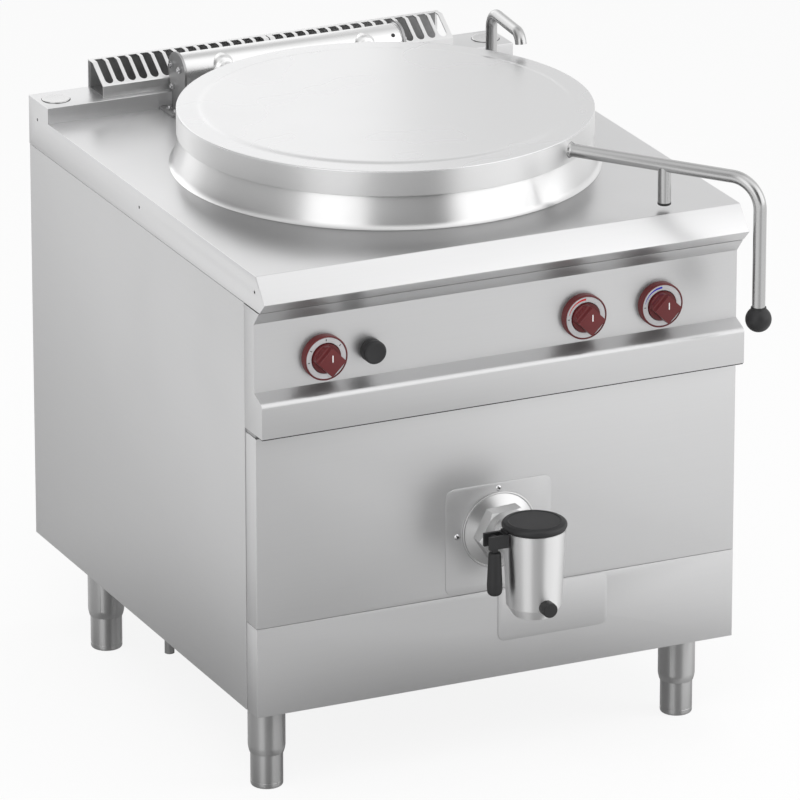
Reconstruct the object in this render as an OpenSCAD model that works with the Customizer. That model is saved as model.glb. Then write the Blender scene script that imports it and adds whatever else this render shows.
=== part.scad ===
// Gas boiling pan on feet: round pan with a hinged lid, set in a cabinet with a drain tap and a fill spout.
// Millimetres, +Z up, the front looks along -Y. The origin lies on the floor under the middle of the part.

/* [Cabinet] */
// Width of the cabinet and worktop
width = 800; // [790:5:900]
// Depth of the worktop, front edge to back
depth = 900; // [890:5:960]
// Height of the worktop above the floor
worktop_h = 850; // [840:5:880]
// Height of the cabinet's underside above the floor
leg_h = 147; // [140:1:160]
// Thickness of the cabinet sheets
sheet = 1.5; // [1:0.25:2]
// Thickness of the worktop sheet
top_sheet = 2; // [1.5:0.25:3]
// Height of the worktop's folded side skirt
skirt_h = 54; // [48:1:58]
// Run of the worktop's sloping front edge
nose_run = 32; // [26:1:36]
// Drop of the worktop's sloping front edge
nose_drop = 36; // [30:1:40]
// Depth of the raised strip along the back of the worktop
upstand_d = 78; // [74:1:84]
// Height of that raised strip
upstand_h = 25.6; // [22:0.2:30]
// How far the front panel stands behind the worktop's front edge
panel_back = 37; // [35:0.5:40]
// How far the control panel's face stands behind the worktop's front edge
face_back = 40; // [38:0.5:44]
// How far the bright lip under the controls stands behind the worktop's front edge
lip_back = 12; // [8:0.5:16]
// Height above the floor of the lip's bottom edge
lip_low = 600; // [594:1:610]
// Height above the floor of the lip's top edge
lip_high = 657; // [652:1:662]
// Height above the floor of the plinth's top edge
plinth_h = 289; // [280:1:296]
// How far the front panels wrap round the cabinet's sides
wing = 38; // [36:1:44]

/* [Pan] */
// Inside diameter of the pan
pan_d = 600; // [580:5:604]
// Inside depth of the pan below its rim
pan_depth = 552; // [536:2:552]
// Wall of the pan
pan_wall = 2; // [1.5:0.25:3]
// Inside radius where the pan's wall meets its bottom
pan_corner = 25; // [16:1:25]
// How far the pan's centre lies in front of the cabinet's centre
pan_front = 9; // [4:1:14]
// Height of the pan's rim above the worktop
rim_h = 55; // [52:0.5:58]
// How far the collar's foot stands out past its top
collar_flare = 13; // [9:1:17]
// Width of the hot gas space between the pan's wall and the chamber round it
gas_space = 29; // [24:1:31]
// Thickness of the insulation round the chamber
wool = 23; // [15:1:24]
// Radius of the outer burner ring
burner_r = 215; // [180:5:240]
// Radius of the burner's tube
burner_tube_r = 14; // [10:1:16]

/* [Lid] */
// How far the lid reaches past the inside of the pan's wall
lid_over = 20; // [18:0.5:22]
// Height of the lid's top above the worktop
lid_top_h = 89.5; // [86:0.5:94]
// Depth of the lid's skirt
lid_skirt = 39.5; // [36:0.5:40]
// Sheet of the lid
lid_sheet = 2; // [1.5:0.25:2.5]
// Radius of the raised field on the lid
field_r = 288; // [270:1:295]
// Height of the raised field
field_h = 3; // [2:0.5:5]
// Outside radius of the tube that the lid turns on
hinge_r = 30; // [26:0.5:30.5]
// Distance from the middle of the cabinet back to the hinge tube
hinge_back = 354; // [350:0.5:355]
// Height of the hinge tube's middle above the worktop
hinge_h = 61; // [58:0.5:64]
// Length of the hinge tube
hinge_len = 370; // [340:5:390]
// Distance of the lid's two arms from its middle
arm_x = 121; // [90:1:140]
// Radius of the lid's arms
arm_r = 9; // [7:0.5:10]
// Direction of the handle seen from above
handle_angle = -54; // [-56:1:-50]
// Radius of the handle's tube
handle_r = 10; // [8:0.5:11]
// Distance from the lid's middle to the handle's upright end
handle_reach = 641; // [635:1:650]
// Rise of the handle's arm in degrees
handle_rise = 0.5; // [0:0.5:3]
// Drop of the handle's arm below the lid's top
handle_drop = 20.5; // [16:0.5:24]
// Distance from the lid's middle to the handle's rest post
post_reach = 480; // [450:5:510]
// Bend radius of the handle
handle_bend = 46; // [36:1:60]
// Height above the floor of the ball's middle
ball_z = 703; // [690:1:730]
// Radius of the ball
ball_r = 20; // [16:0.5:22]

/* [Controls] */
// Height of the controls above the floor
control_z = 707; // [704:1:712]
// Distance of the gas knob from the cabinet's left side
gas_x = 112; // [105:1:120]
// Distance between the gas knob and the igniter button
igniter_x = 76; // [68:1:84]
// Distance between the two water knobs
hot_x = 128; // [110:1:140]
// Distance of the cold water knob from the cabinet's right side
cold_x = 132; // [128:1:145]
// Radius of the rings round the knobs
bezel_r = 35; // [32:0.5:37]
// Depth of those rings
bezel_t = 13; // [11:0.5:15]
// Radius of a knob's round foot
knob_r = 23; // [20:0.5:24.5]
// How far a knob stands out of its ring
knob_out = 23; // [18:0.5:26]
// Width of a knob's grip
grip_w = 32; // [28:0.5:34]
// Radius of the spindles
spindle_r = 4; // [3:0.25:5]
// Push of the gas knob
gas_push = 4; // [3:0.5:4]
// Radius of the igniter button
button_r = 18; // [16:0.5:20]
// How far the igniter button stands out
button_out = 23; // [20:0.5:26]
// Push of the igniter button
button_push = 5; // [3:0.5:5]

/* [Drain tap] */
// Inside radius of the drain pipe
drain_r = 20; // [19.5:0.25:20]
// Wall of the drain pipe
drain_wall = 3; // [2:0.25:3]
// How far the tap's middle stands in front of the front panel
tap_out = 124.5; // [122:0.5:132]
// Outside radius of the tap's cup at its top
cup_top_r = 47.5; // [45:0.5:48.5]
// Outside radius of the tap's cup above its tapered end
cup_low_r = 42; // [41:0.5:44]
// Radius of the tap's mouth outside
mouth_r = 32; // [30:0.5:36]
// Radius of the tap's outlet
outlet_r = 24; // [20:0.5:25]
// Drop from the drain's middle to the tap's mouth
mouth_drop = 91; // [88:1:94]
// Rise from the drain's middle to the top of the tap's cap
cap_rise = 57.5; // [54:0.5:60]
// Height of the cap
cap_h = 12.5; // [11:0.5:15]
// Radius of the cap
cap_r = 49.5; // [49:0.5:52]
// Radius of the round flange behind the tap
flange_r = 61; // [56:1:64]
// Width across the flats of the tap's nut
nut_af = 83; // [76:1:88]
// Length of the tap's nut
nut_t = 24; // [16:1:26]
// How far the flange's dished face stands out at the nut
flange_t = 12; // [8:1:14]
// Radius of the plug that turns in the tap
plug_r = 30; // [29:0.5:31]

/* [Fill spout] */
// Distance of the spout's riser from the worktop's right side
spout_x = 88; // [76:1:100]
// Distance from the middle of the cabinet back to the riser
spout_back = 268; // [255:1:280]
// Radius of the spout's tube
spout_r = 9; // [7:0.5:10]
// Height of the spout's tube above the worktop
spout_h = 120; // [110:1:130]
// Reach of the spout
spout_reach = 131; // [110:1:150]
// Turn of the spout to the left of straight ahead
spout_turn = 5; // [0:1:10]

/* [Flue] */
// Length of the flue grille
grille_len = 602; // [560:2:640]
// Distance between two slots of the grille
slot_pitch = 19.3; // [18:0.1:22]
// Width of a slot
slot_w = 13.5; // [10:0.5:14]
// Height of the grille above the raised strip
grille_h = 46.4; // [42:0.2:50]
// Slots in each half of the grille
slots = 15; // [10:1:15]

/* [Feet] */
// Distance of the feet's middles from the cabinet's sides
foot_x = 53; // [50:1:60]
// Distance of the front feet from the middle
foot_front = 329; // [320:1:335]
// Distance of the back feet from the middle
foot_back = 291; // [280:1:300]
// Radius of the feet
foot_r = 25; // [22:0.5:26]
// Wall of the sleeves round the feet
sleeve_wall = 3.4; // [2.5:0.1:4]
// Height of the sleeves' lower edge above the floor
sleeve_z = 57; // [54:1:70]
// How far a foot screws out
foot_travel = 50; // [30:5:50]

/* [Hidden] */
$fn = 96;

// Clearances: a seam between sheets, a running gap between moving pieces and a fit round a shaft
seam = 0.5;
gap = 0.3;
fit = 0.05;

// Places along Y, with the origin midway between the tap's boss and the worktop's back edge
boss_len = 16;
cover_t = 1.2;
panel_mid = depth / 2 - panel_back;
tap_reach = panel_mid + tap_out + cup_low_r + boss_len;
y_mid = (tap_reach - depth / 2) / 2;
y_front = y_mid - depth / 2;
y_back = y_mid + depth / 2;
y_panel = y_front + panel_back;
y_face = y_front + face_back;
y_lip = y_front + lip_back;
y_upstand = y_back - upstand_d;
y_pan = y_mid - pan_front;
y_tap = y_panel - tap_out;
y_hinge = y_mid + hinge_back;
y_spout = y_mid + spout_back;

// Places across, from the cabinet's sides, and the chamber's radius round the pan
x_gas = gas_x - width / 2;
x_igniter = x_gas + igniter_x;
x_cold = width / 2 - cold_x;
x_hot = x_cold - hot_x;
x_spout = width / 2 - spout_x;
x_foot = width / 2 - foot_x;
pan_r = pan_d / 2;
lid_r = pan_r + lid_over;
collar_top_r = lid_r - lid_sheet - 5;
collar_low_r = collar_top_r + collar_flare;
chamber_r = pan_r + pan_wall + gas_space;

// Heights
z_top = worktop_h;
z_upstand = worktop_h + upstand_h;
z_skirt = z_top - skirt_h;
z_under = z_top - top_sheet;
z_rim = z_top + rim_h;
z_hinge = z_top + hinge_h;
z_lid = z_top + lid_top_h;
z_pan = z_rim - pan_depth;
drain_z = z_pan + 34;
mouth_z = drain_z - mouth_drop;
cap_z = drain_z + cap_rise;

// Sheets and frame
panel_inset = 1;
panel_x = width / 2 - panel_inset;
tube = 30;
post_w = 34;
frame_h = 40;
channel_t = 2;
z_frame = leg_h + frame_h;
post_x = panel_x - sheet;
y_post = y_face + sheet;
y_wing = y_panel + wing;
y_side = y_post + post_w;
return_w = 15;
back_inset = 2;
y_rear = y_back - back_inset;
y_rear_in = y_rear - sheet;
side_in = width / 2 - sheet;
z_front_top = lip_low - 7;
z_rail = lip_low + sheet;

// Colours
STEEL = [0.78, 0.78, 0.79];
BRIGHT = [0.86, 0.86, 0.87];
CHROME = [0.7, 0.71, 0.72];
GALVANISED = [0.62, 0.64, 0.66];
BLACK = [0.16, 0.16, 0.17];
RED = [0.45, 0.16, 0.17];
BRASS = [0.72, 0.58, 0.3];
WOOL = [0.85, 0.82, 0.72];
SEAL = [0.72, 0.7, 0.66];

// The unit normal to the left of a step from one point to the next
function left_of(a, b) = let (v = (b - a) / norm(b - a)) [-v[1], v[0]];

// The corner offset that keeps a sheet's thickness on both sides of point i
function corner(p, i) =
    let (a = left_of(p[max(i - 1, 0)], p[max(i, 1)]),
         b = left_of(p[min(i, len(p) - 2)], p[min(i + 1, len(p) - 1)]),
         m = a + b)
    2 * m / (m * m);

// The outline of a folded sheet: the path out, and back at the sheet's thickness to its left
function folded(p, t) = concat(p, [for (i = [len(p) - 1:-1:0]) p[i] + t * corner(p, i)]);

// Points of an arc about c from angle a0 to a1
function arc(c, r, a0, a1, n) = [for (i = [0:n]) let (a = a0 + (a1 - a0) * i / n) c + r * [cos(a), sin(a)]];

// A rounded rectangle's outline
function rounded(w, h, r) = concat(
    arc([w / 2 - r, h / 2 - r], r, 0, 90, 6), arc([r - w / 2, h / 2 - r], r, 90, 180, 6),
    arc([r - w / 2, r - h / 2], r, 180, 270, 6), arc([w / 2 - r, r - h / 2], r, 270, 360, 6));

// Carries a profile drawn as (y, z) along X
module along_x(length) translate([-length / 2, 0, 0]) rotate([90, 0, 90]) linear_extrude(length) children();

// Turns what is built along +Z to stand out of the front, from plane y
module to_front(x, y, z) translate([x, y, z]) rotate([90, 0, 0]) children();

// Turns what is built along +Z to lie along +X
module to_right(x, y, z) translate([x, y, z]) rotate([0, 90, 0]) children();

module mirror_x() {
    children();
    mirror([1, 0, 0]) children();
}

// A box from its lowest corner to its highest
module block(a, b) translate(a) cube(b - a);

// A folded channel: the box from a to b, hollowed towards the side that o names
module channel(a, b, o) {
    t = channel_t;
    difference() {
        block(a, b);
        block([for (i = [0:2]) a[i] + (o[i] < 0 ? -1 : t)], [for (i = [0:2]) b[i] - (o[i] > 0 ? -1 : t)]);
    }
}

// A round bar from a to b
module bar(a, b, r) {
    v = b - a;
    translate(a)
        rotate([0, acos(v[2] / norm(v)), atan2(v[1], v[0])])
            cylinder(r = r, h = norm(v), $fn = 48);
}

// A pipe through points, with a fitting at each corner
module pipe(points, r) {
    for (i = [0:len(points) - 2]) bar(points[i], points[i + 1], r);
    for (i = [1:len(points) - 2]) translate(points[i]) sphere(r = r + 1.5, $fn = 48);
}

// A hexagon head or nut, across flats af
module hexagon(af, h) cylinder(d = af / cos(30), h = h, $fn = 6);

// Worktop

// The worktop's outline from the side, from under the front edge to the bottom of the back hem
worktop_path = [
    [y_front + 19, z_skirt], [y_front, z_top - nose_drop], [y_front + nose_run, z_top],
    [y_upstand, z_top], [y_upstand, z_upstand], [y_back, z_upstand], [y_back, z_skirt]
];
well_r = pan_d / 2 + pan_wall + 4;
duct_w = 260;
duct_front = 16;
duct_back = 12;
cap_x = width / 2 - 30;
cap_disc_r = 22;
cap_disc_t = 2;
spout_hole_r = 11;
join_r = 2.5;

// Holes for joining the part to its neighbours: two level with each other and one near the back
join_places = [[y_mid - 414, z_top - 25.5], [y_mid + 15, z_top - 25.5], [y_back - 35, z_top - 5]];

module worktop() color(STEEL) difference() {
    union() {
        along_x(width) polygon(folded(worktop_path, -top_sheet));
        mirror_x() translate([width / 2 - top_sheet / 2, 0, 0]) along_x(top_sheet) polygon(worktop_path);
    }
    translate([0, y_pan, z_top - 10]) cylinder(r = well_r, h = 20);
    block([duct_t - duct_w / 2, duct_in + duct_t, z_upstand - 10],
          [duct_w / 2 - duct_t, duct_out - duct_t, z_upstand + 1]);
    translate([x_spout, y_spout, z_top - 10]) cylinder(r = spout_hole_r, h = 20);
    mirror_x() for (p = join_places)
        to_right(width / 2 - top_sheet - 1, p[0], p[1]) cylinder(r = join_r, h = top_sheet + 2);
}

module upstand_caps() color(BRIGHT) mirror_x()
    translate([cap_x, y_back - 40, z_upstand]) rotate_extrude()
        polygon(concat([[0, 0], [cap_disc_r, 0]],
            arc([cap_disc_r - 1.5, cap_disc_t - 1.5], 1.5, 0, 90, 4), [[0, cap_disc_t]]));

// Front

lip_r = 9;

// The control panel from the side: top slope, face, lower slope, round lip and the flange under it
control_path = concat(
    [[y_front + 21, z_skirt - 1.6], [y_face, z_skirt - 23.6], [y_face, lip_high + 8]],
    arc([y_lip + lip_r, lip_high - lip_r], lip_r, 106, 180, 6),
    [[y_lip, lip_low], [y_face + 14, lip_low]]);

// The same path without its flange, closed at the back, is the shape of the wings
control_wing = concat([for (i = [0:len(control_path) - 2]) control_path[i]],
    [[y_side - seam, lip_low], [y_side - seam, z_skirt - 1.6]]);
knob_places = [x_gas, x_hot, x_cold];
spindle_hole_r = spindle_r + 2;
piezo_r = 9;

module control_panel() color(STEEL) difference() {
    union() {
        along_x(width) polygon(folded(control_path, sheet));
        mirror_x() translate([width / 2 - sheet / 2, 0, 0]) along_x(sheet) polygon(control_wing);
    }
    for (x = knob_places) to_front(x, y_face + 5, control_z) cylinder(r = spindle_hole_r, h = 10);
    to_front(x_igniter, y_face + 5, control_z) cylinder(r = piezo_r + 0.1, h = 10);
    mirror_x() block([post_x - post_w - gap, y_post - gap, lip_low - 1],
                     [width / 2 - sheet, y_side, lip_low + sheet + 1]);
}

tap_hole_r = drain_r + drain_wall + gap;

// A front panel with wings: folded round both sides, with flanges at its top and bottom
module winged_panel(z0, z1) {
    inner = panel_x - sheet;
    difference() {
        block([-panel_x, y_panel, z0], [panel_x, y_wing - seam, z1]);
        block([-inner, y_panel + sheet, z0 + sheet], [inner, y_wing + 1, z1 - sheet]);
        block([-inner, y_panel + return_w, z0 - 1], [inner, y_wing + 1, z1 + 1]);
        mirror_x() block([post_x - post_w - gap, y_post - gap, z0 - 1], [inner, y_wing + 1, z1 + 1]);
    }
}

module front_panel() color(STEEL) difference() {
    winged_panel(plinth_h + seam, z_front_top);
    to_front(0, y_panel + 10, drain_z) cylinder(r = tap_hole_r, h = 20);
    for (p = cover_screw_places) to_front(p[0], y_panel + 10, p[1]) cylinder(r = screw_r + 0.2, h = 20);
}

access_w = 150;
access_h = 60;
access_x = 92;
access_z = 246;
access_lap = [17, 12];

module plinth_panel() color(STEEL) difference() {
    winged_panel(leg_h, plinth_h);
    translate([access_x, y_panel + 5, access_z]) rotate([90, 0, 0])
        linear_extrude(10) polygon(rounded(access_w, access_h, 8));
}

module plinth_cover() color(STEEL)
    to_front(access_x, y_panel, access_z) linear_extrude(cover_t)
        polygon(rounded(access_w + 2 * access_lap[0], access_h + 2 * access_lap[1], 12));

// Cabinet

// A side sheet seen from above, folded in at its front and back edges
module side_sheet(z0, z1) {
    path = [
        [side_in - return_w, y_side], [width / 2, y_side],
        [width / 2, y_rear], [side_in - return_w, y_rear]
    ];
    translate([0, 0, z0]) linear_extrude(z1 - z0) polygon(folded(path, sheet));
}

module right_side_panel() color(STEEL) side_sheet(leg_h, z_skirt - gap);

module left_side_panel() color(STEEL) mirror([1, 0, 0]) side_sheet(leg_h, z_skirt - gap);

louvre_w = 120;
louvres = 6;

module back_panel() color(STEEL) {
    inner = side_in - return_w - seam;
    difference() {
        block([-inner, y_rear_in, leg_h], [inner, y_rear, z_skirt + 20]);
        for (i = [0:louvres - 1], s = [-1, 1])
            block([s * 170 - louvre_w / 2, y_rear_in - 1, 300 + 16 * i],
                  [s * 170 + louvre_w / 2, y_rear + 1, 306 + 16 * i]);
    }
}

// The base: a welded ring of square tube, two cross tubes and a bottom sheet with an air opening
rail_x = side_in - frame_h;
cross_y = 150;
air_r = 150;
pipe_r = 6;
inlet_r = 7.75;
z_low_run = z_frame + 13;
z_high_run = z_frame + 35;
pipe_clear = 2;

// Where the gas and water inlets come up through the bottom sheet, and how low their ends reach
side_pipe_x = chamber_r + 15;
gas_in = [19 - side_pipe_x, y_mid + 86];
cold_in = [side_pipe_x, y_mid + 86];
hot_in = [side_pipe_x, y_mid + 46];
inlet_z = 60;
y_run = y_post + 44;
valve_w = 44;
valve_h = 56;
side_run_x = (pan_r + pan_wall + post_x - tube) / 2;
gas_riser_x = x_gas - valve_w / 2 - 56;
riser_x = side_pipe_x - 28;

// The pipes' middle lines up to the controls
gas_path = [
    [gas_in[0], gas_in[1], inlet_z], [gas_in[0], gas_in[1], z_frame - 20],
    [-side_pipe_x, gas_in[1], z_frame - 20],
    [-side_pipe_x, gas_in[1], z_low_run], [-side_pipe_x, y_run, z_low_run],
    [gas_riser_x, y_run, z_low_run], [gas_riser_x, y_run, control_z],
    [x_gas - valve_w / 2, y_run, control_z]
];
hot_path = [
    [hot_in[0], hot_in[1], inlet_z], [hot_in[0], hot_in[1], z_low_run], [hot_in[0], y_run, z_low_run],
    [riser_x, y_run, z_low_run], [riser_x, y_run, control_z - 52], [x_hot, y_run, control_z - 52],
    [x_hot, y_run, control_z - 26]
];
cold_path = [
    [cold_in[0], cold_in[1], inlet_z], [cold_in[0], cold_in[1], z_high_run], [cold_in[0], y_run, z_high_run],
    [cold_in[0], y_run, control_z - 34], [x_cold, y_run, control_z - 34], [x_cold, y_run, control_z - 26]
];

// Cuts the way of a pipe's first lengths out of the frame, with the clearance all round
module pipe_way(path, r) pipe([for (i = [0:3]) path[i]], r + pipe_clear);

// A nut that holds an inlet under the bottom sheet
inlet_nut = 9;

module inlet(at, r) translate([at[0], at[1], leg_h - gap - inlet_nut]) hexagon(2 * r + 12, inlet_nut);

module base_frame() color(GALVANISED) {
    y0 = y_panel + sheet;
    y1 = y_rear_in;
    z0 = leg_h + sheet;
    difference() {
        union() {
            mirror_x() channel([rail_x, y_side + sheet, z0], [side_in, y1, z_frame], [-1, 0, 0]);
            channel([-rail_x, y0, z0], [rail_x, y0 + frame_h, z_frame], [0, 1, 0]);
            channel([-rail_x, y1 - frame_h, z0], [rail_x, y1, z_frame], [0, -1, 0]);
            for (s = [-1, 1])
                channel([-rail_x, y_pan + s * cross_y - frame_h / 2, z0],
                        [rail_x, y_pan + s * cross_y + frame_h / 2, z_frame], [0, 0, -1]);
            block([-rail_x - frame_h + return_w + 1, y_side + sheet, leg_h],
                  [rail_x + frame_h - return_w - 1, y1, z0]);
            block([-rail_x, y0 + return_w, leg_h], [rail_x, y_side + sheet, z0]);
            mirror_x() block([rail_x, y0 + return_w, leg_h], [post_x, y_side, z0]);
        }
        translate([0, y_pan, leg_h - 1]) cylinder(r = air_r, h = 2 + sheet);
        pipe_way(gas_path, inlet_r);
        pipe_way(hot_path, pipe_r);
        pipe_way(cold_path, pipe_r);
    }
}

// The inner frame: corner posts, rails under the worktop and a rail behind the lip
module inner_frame() color(GALVANISED) mirror_x() {
    down = [0, 0, -1];
    channel([post_x - post_w, y_post, z_frame], [post_x, y_side, z_under], [-1, 0, 0]);
    channel([post_x - tube, y_rear_in - tube, z_frame], [post_x, y_rear_in, z_under], [-1, 0, 0]);
    channel([post_x - tube, y_side, z_under - tube], [post_x, y_rear_in - tube, z_under], down);
    channel([duct_w / 2, y_rear_in - tube, z_under - tube], [post_x - tube, y_rear_in, z_under], down);
    half_rail([0, y_post, z_under - tube], [post_x - post_w, y_post + tube, z_under]);
    half_rail([0, y_post, z_rail], [post_x - post_w, y_post + tube, z_rail + tube]);
}

// Half of a rail across the cabinet, an open channel whose inner end meets its mirror image
module half_rail(a, b) difference() {
    block(a, b);
    block([a[0] - 1, a[1] + channel_t, a[2] - 1], [b[0] - channel_t, b[1] - channel_t, b[2] - channel_t]);
}

// Flue

z_duct = 700;
duct_t = 1.5;
duct_in = y_upstand + duct_front;
duct_out = y_back - duct_back;

// A square elbow: out of the chamber's back and up to the opening in the raised strip
module flue_duct() color(GALVANISED) difference() {
    union() {
        block([-duct_w / 2, duct_in, z_duct], [duct_w / 2, duct_out, z_upstand - top_sheet]);
        block([-duct_w / 2, y_pan + chamber_r - 60, z_duct], [duct_w / 2, duct_out, z_duct + 90]);
    }
    block([duct_t - duct_w / 2, duct_in + duct_t, z_duct + duct_t], [duct_w / 2 - duct_t, duct_out - duct_t, z_upstand]);
    block([duct_t - duct_w / 2, y_pan + chamber_r - 61, z_duct + duct_t],
          [duct_w / 2 - duct_t, duct_out - duct_t, z_duct + 90 - duct_t]);
    translate([0, y_pan, z_duct - 1]) cylinder(r = chamber_r + fit, h = 100, $fn = 128);
}

grille_t = 1.5;
grille_front = 13;
grille_rise = 18.4;
grille_run = 41;
grille_back = 4;
end_slot = 16.6;

// The grille from the side: front flange, slope, flat top and back
grille_path = [
    [y_upstand + grille_front, z_upstand], [y_upstand + grille_front, z_upstand + grille_rise],
    [y_upstand + grille_front + grille_run, z_upstand + grille_h],
    [y_back - grille_back, z_upstand + grille_h], [y_back - grille_back, z_upstand]
];

// One slot: cut straight down through the slope and the flat top, with a round lower end
module grille_slot() {
    y0 = grille_path[1][0] + 4;
    translate([0, y0 + slot_w / 2, z_upstand + 3]) cylinder(d = slot_w, h = grille_h, $fn = 32);
    block([-slot_w / 2, y0 + slot_w / 2, z_upstand + 3],
          [slot_w / 2, grille_path[3][0] - 7, z_upstand + grille_h + 3]);
}

module flue_grille() color(BRIGHT) difference() {
    along_x(grille_len) polygon(folded(grille_path, -grille_t));
    for (s = [-1, 1], i = [0:slots - 1]) translate([s * (end_slot + slot_pitch * i), 0, 0]) grille_slot();
    block([-1, grille_path[1][0] - 2, z_upstand - 1], [1, y_back - grille_back - 7, z_upstand + grille_h + 2]);
}

// Pan

collar_t = 2;

// A cone from the worktop up to the rim, with a small bead round its foot
module pan_collar() color(BRIGHT) translate([0, y_pan, 0]) rotate_extrude($fn = 128) polygon([
    [collar_low_r - collar_t, z_top], [collar_low_r + 3, z_top], [collar_low_r + 3, z_top + 1.5],
    [collar_low_r, z_top + 3], [collar_top_r, z_rim - top_sheet], [collar_top_r - collar_t, z_rim - top_sheet]
]);

// The pan: a pressed bottom with a round corner, a straight wall and a flange that lies on the collar
module pan_vessel() color(BRIGHT) difference() {
    translate([0, y_pan, 0]) rotate_extrude($fn = 128) polygon(concat(
        [[0, z_pan]], arc([pan_r - pan_corner, z_pan + pan_corner], pan_corner, 270, 360, 8),
        [[pan_r, z_rim], [collar_top_r + 1, z_rim], [collar_top_r + 1, z_rim - top_sheet],
         [pan_r + pan_wall, z_rim - top_sheet]],
        arc([pan_r - pan_corner, z_pan + pan_corner], pan_corner + pan_wall, 0, -90, 8),
        [[0, z_pan - pan_wall]]));
    to_front(0, y_pan - pan_r + 60, drain_z) cylinder(r = drain_r + drain_wall + 0.1, h = 100);
}

strainer_r = drain_r + drain_wall;
strainer_t = 2;
y_drain_in = y_pan - pan_r + 5;

// A drilled plate that lies on the drain pipe's end, with a short neck that plugs into it
module pan_strainer() color(BRIGHT) difference() {
    union() {
        to_front(0, y_drain_in + strainer_t, drain_z) cylinder(r = strainer_r, h = strainer_t);
        to_front(0, y_drain_in, drain_z) cylinder(r = drain_r - 0.1, h = 22);
    }
    to_front(0, y_drain_in, drain_z) cylinder(r = drain_r - 1.6, h = 30);
    for (ring = [[0, 1], [8, 6], [15, 12]], i = [0:ring[1] - 1]) rotate_about(0, drain_z, 360 * i / ring[1])
        to_front(ring[0], y_drain_in + strainer_t + 1, drain_z) cylinder(r = 2, h = 6, $fn = 24);
}

// Turns round the axis along Y through x, z
module rotate_about(x, z, a) translate([x, 0, z]) rotate([0, a, 0]) translate([-x, 0, -z]) children();

chamber_t = 1.5;
z_chamber = z_frame;
z_chamber_top = z_under - tube - 8;
air_slot_w = 60;
shroud_gap = 1.5;

// The chamber: a drum round the pan, closed at its top against the wall, with air slots at its foot
module heating_chamber() color(GALVANISED) difference() {
    translate([0, y_pan, 0]) rotate_extrude($fn = 128) polygon([
        [chamber_r - chamber_t, z_chamber], [chamber_r, z_chamber],
        [chamber_r, z_chamber_top], [pan_r + pan_wall + gap, z_chamber_top],
        [pan_r + pan_wall + gap, z_chamber_top - chamber_t], [chamber_r - chamber_t, z_chamber_top - chamber_t]
    ]);
    for (i = [0:7]) translate([0, y_pan, 0]) rotate([0, 0, 45 * i + 22.5])
        block([chamber_r - 40, -air_slot_w / 2, z_chamber + 10], [chamber_r + 10, air_slot_w / 2, z_chamber + 28]);
    to_front(0, y_pan - chamber_r + 60, drain_z) cylinder(r = drain_r + drain_wall + shroud_gap, h = 100);
    block([duct_t - duct_w / 2, y_pan, z_duct + duct_t], [duct_w / 2 - duct_t, y_back, z_duct + 90 - duct_t]);
    to_front(burner_feed_x, y_pan - chamber_r + 180, z_burner) cylinder(r = pipe_r + 3, h = 200);
}

z_wool = z_chamber + 50;
z_wool_top = z_chamber_top - 10;

module insulation() color(WOOL) difference() {
    translate([0, y_pan, z_wool]) difference() {
        cylinder(r = chamber_r + wool, h = z_wool_top - z_wool);
        translate([0, 0, -1]) cylinder(r = chamber_r, h = z_wool_top - z_wool + 2);
    }
    to_front(0, y_pan, drain_z) cylinder(r = drain_r + drain_wall + shroud_gap, h = 500);
    block([-duct_w / 2 - gap, y_pan, z_duct - gap], [duct_w / 2 + gap, y_back, z_duct + 90 + gap]);
    block([-duct_w / 2 - gap, duct_in - gap, z_duct - gap], [duct_w / 2 + gap, y_back, z_wool_top + 1]);
    to_front(burner_feed_x, y_pan - chamber_r + 180, z_burner) cylinder(r = pipe_r + 3, h = 300);
}

// Gas

z_burner = z_frame + 82;
inner_ring = 0.55;
burner_feed_x = -60;
burner_leg_r = 5;
ports = 36;

// Two rings of tube on a cross, drilled round their tops, with four legs and the pilot beside them
module burner() color(STEEL) translate([0, y_pan, z_burner]) {
    difference() {
        union() {
            for (r = [burner_r, burner_r * inner_ring]) rotate_extrude($fn = 96)
                translate([r, 0]) circle(r = burner_tube_r, $fn = 32);
            for (a = [45, 135]) rotate([0, 0, a])
                translate([-burner_r, 0, 0]) rotate([0, 90, 0]) cylinder(r = burner_tube_r - 3, h = 2 * burner_r, $fn = 48);
        }
        for (r = [burner_r, burner_r * inner_ring], i = [0:ports - 1]) rotate([0, 0, 360 * (i + 0.5) / ports])
            translate([r, 0, burner_tube_r - 4]) cylinder(r = 1.5, h = 8, $fn = 16);
    }
    for (s = [-1, 1], t = [-1, 1])
        translate([s * sqrt(burner_r * burner_r - cross_y * cross_y), t * cross_y, z_frame - z_burner])
            cylinder(r = burner_leg_r, h = z_burner - z_frame, $fn = 32);
    translate([burner_feed_x + 30, -burner_r - burner_tube_r - 16, -6]) cylinder(r = 6, h = 44, $fn = 32);
    translate([burner_feed_x + 30, -burner_r - burner_tube_r - 11, 2]) rotate([-90, 0, 0]) cylinder(r = 3, h = 16, $fn = 24);
}

valve_d = 46;
y_valve = y_post;
cone_big_r = 11;
cone_small_r = 8;
cone_len = 26;
cone_start = 14;

module gas_pipes() color(BRASS) {
    pipe(gas_path, inlet_r);
    inlet(gas_in, inlet_r);
    pipe([[x_gas, y_run, control_z - valve_h / 2], [x_gas, y_run, z_burner], [burner_feed_x, y_run, z_burner],
          [burner_feed_x, y_feed, z_burner]], pipe_r);
}

// Where the burner's outer ring meets its feed
y_feed = y_pan - sqrt(burner_r * burner_r - burner_feed_x * burner_feed_x) - burner_tube_r + 1.5;

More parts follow.
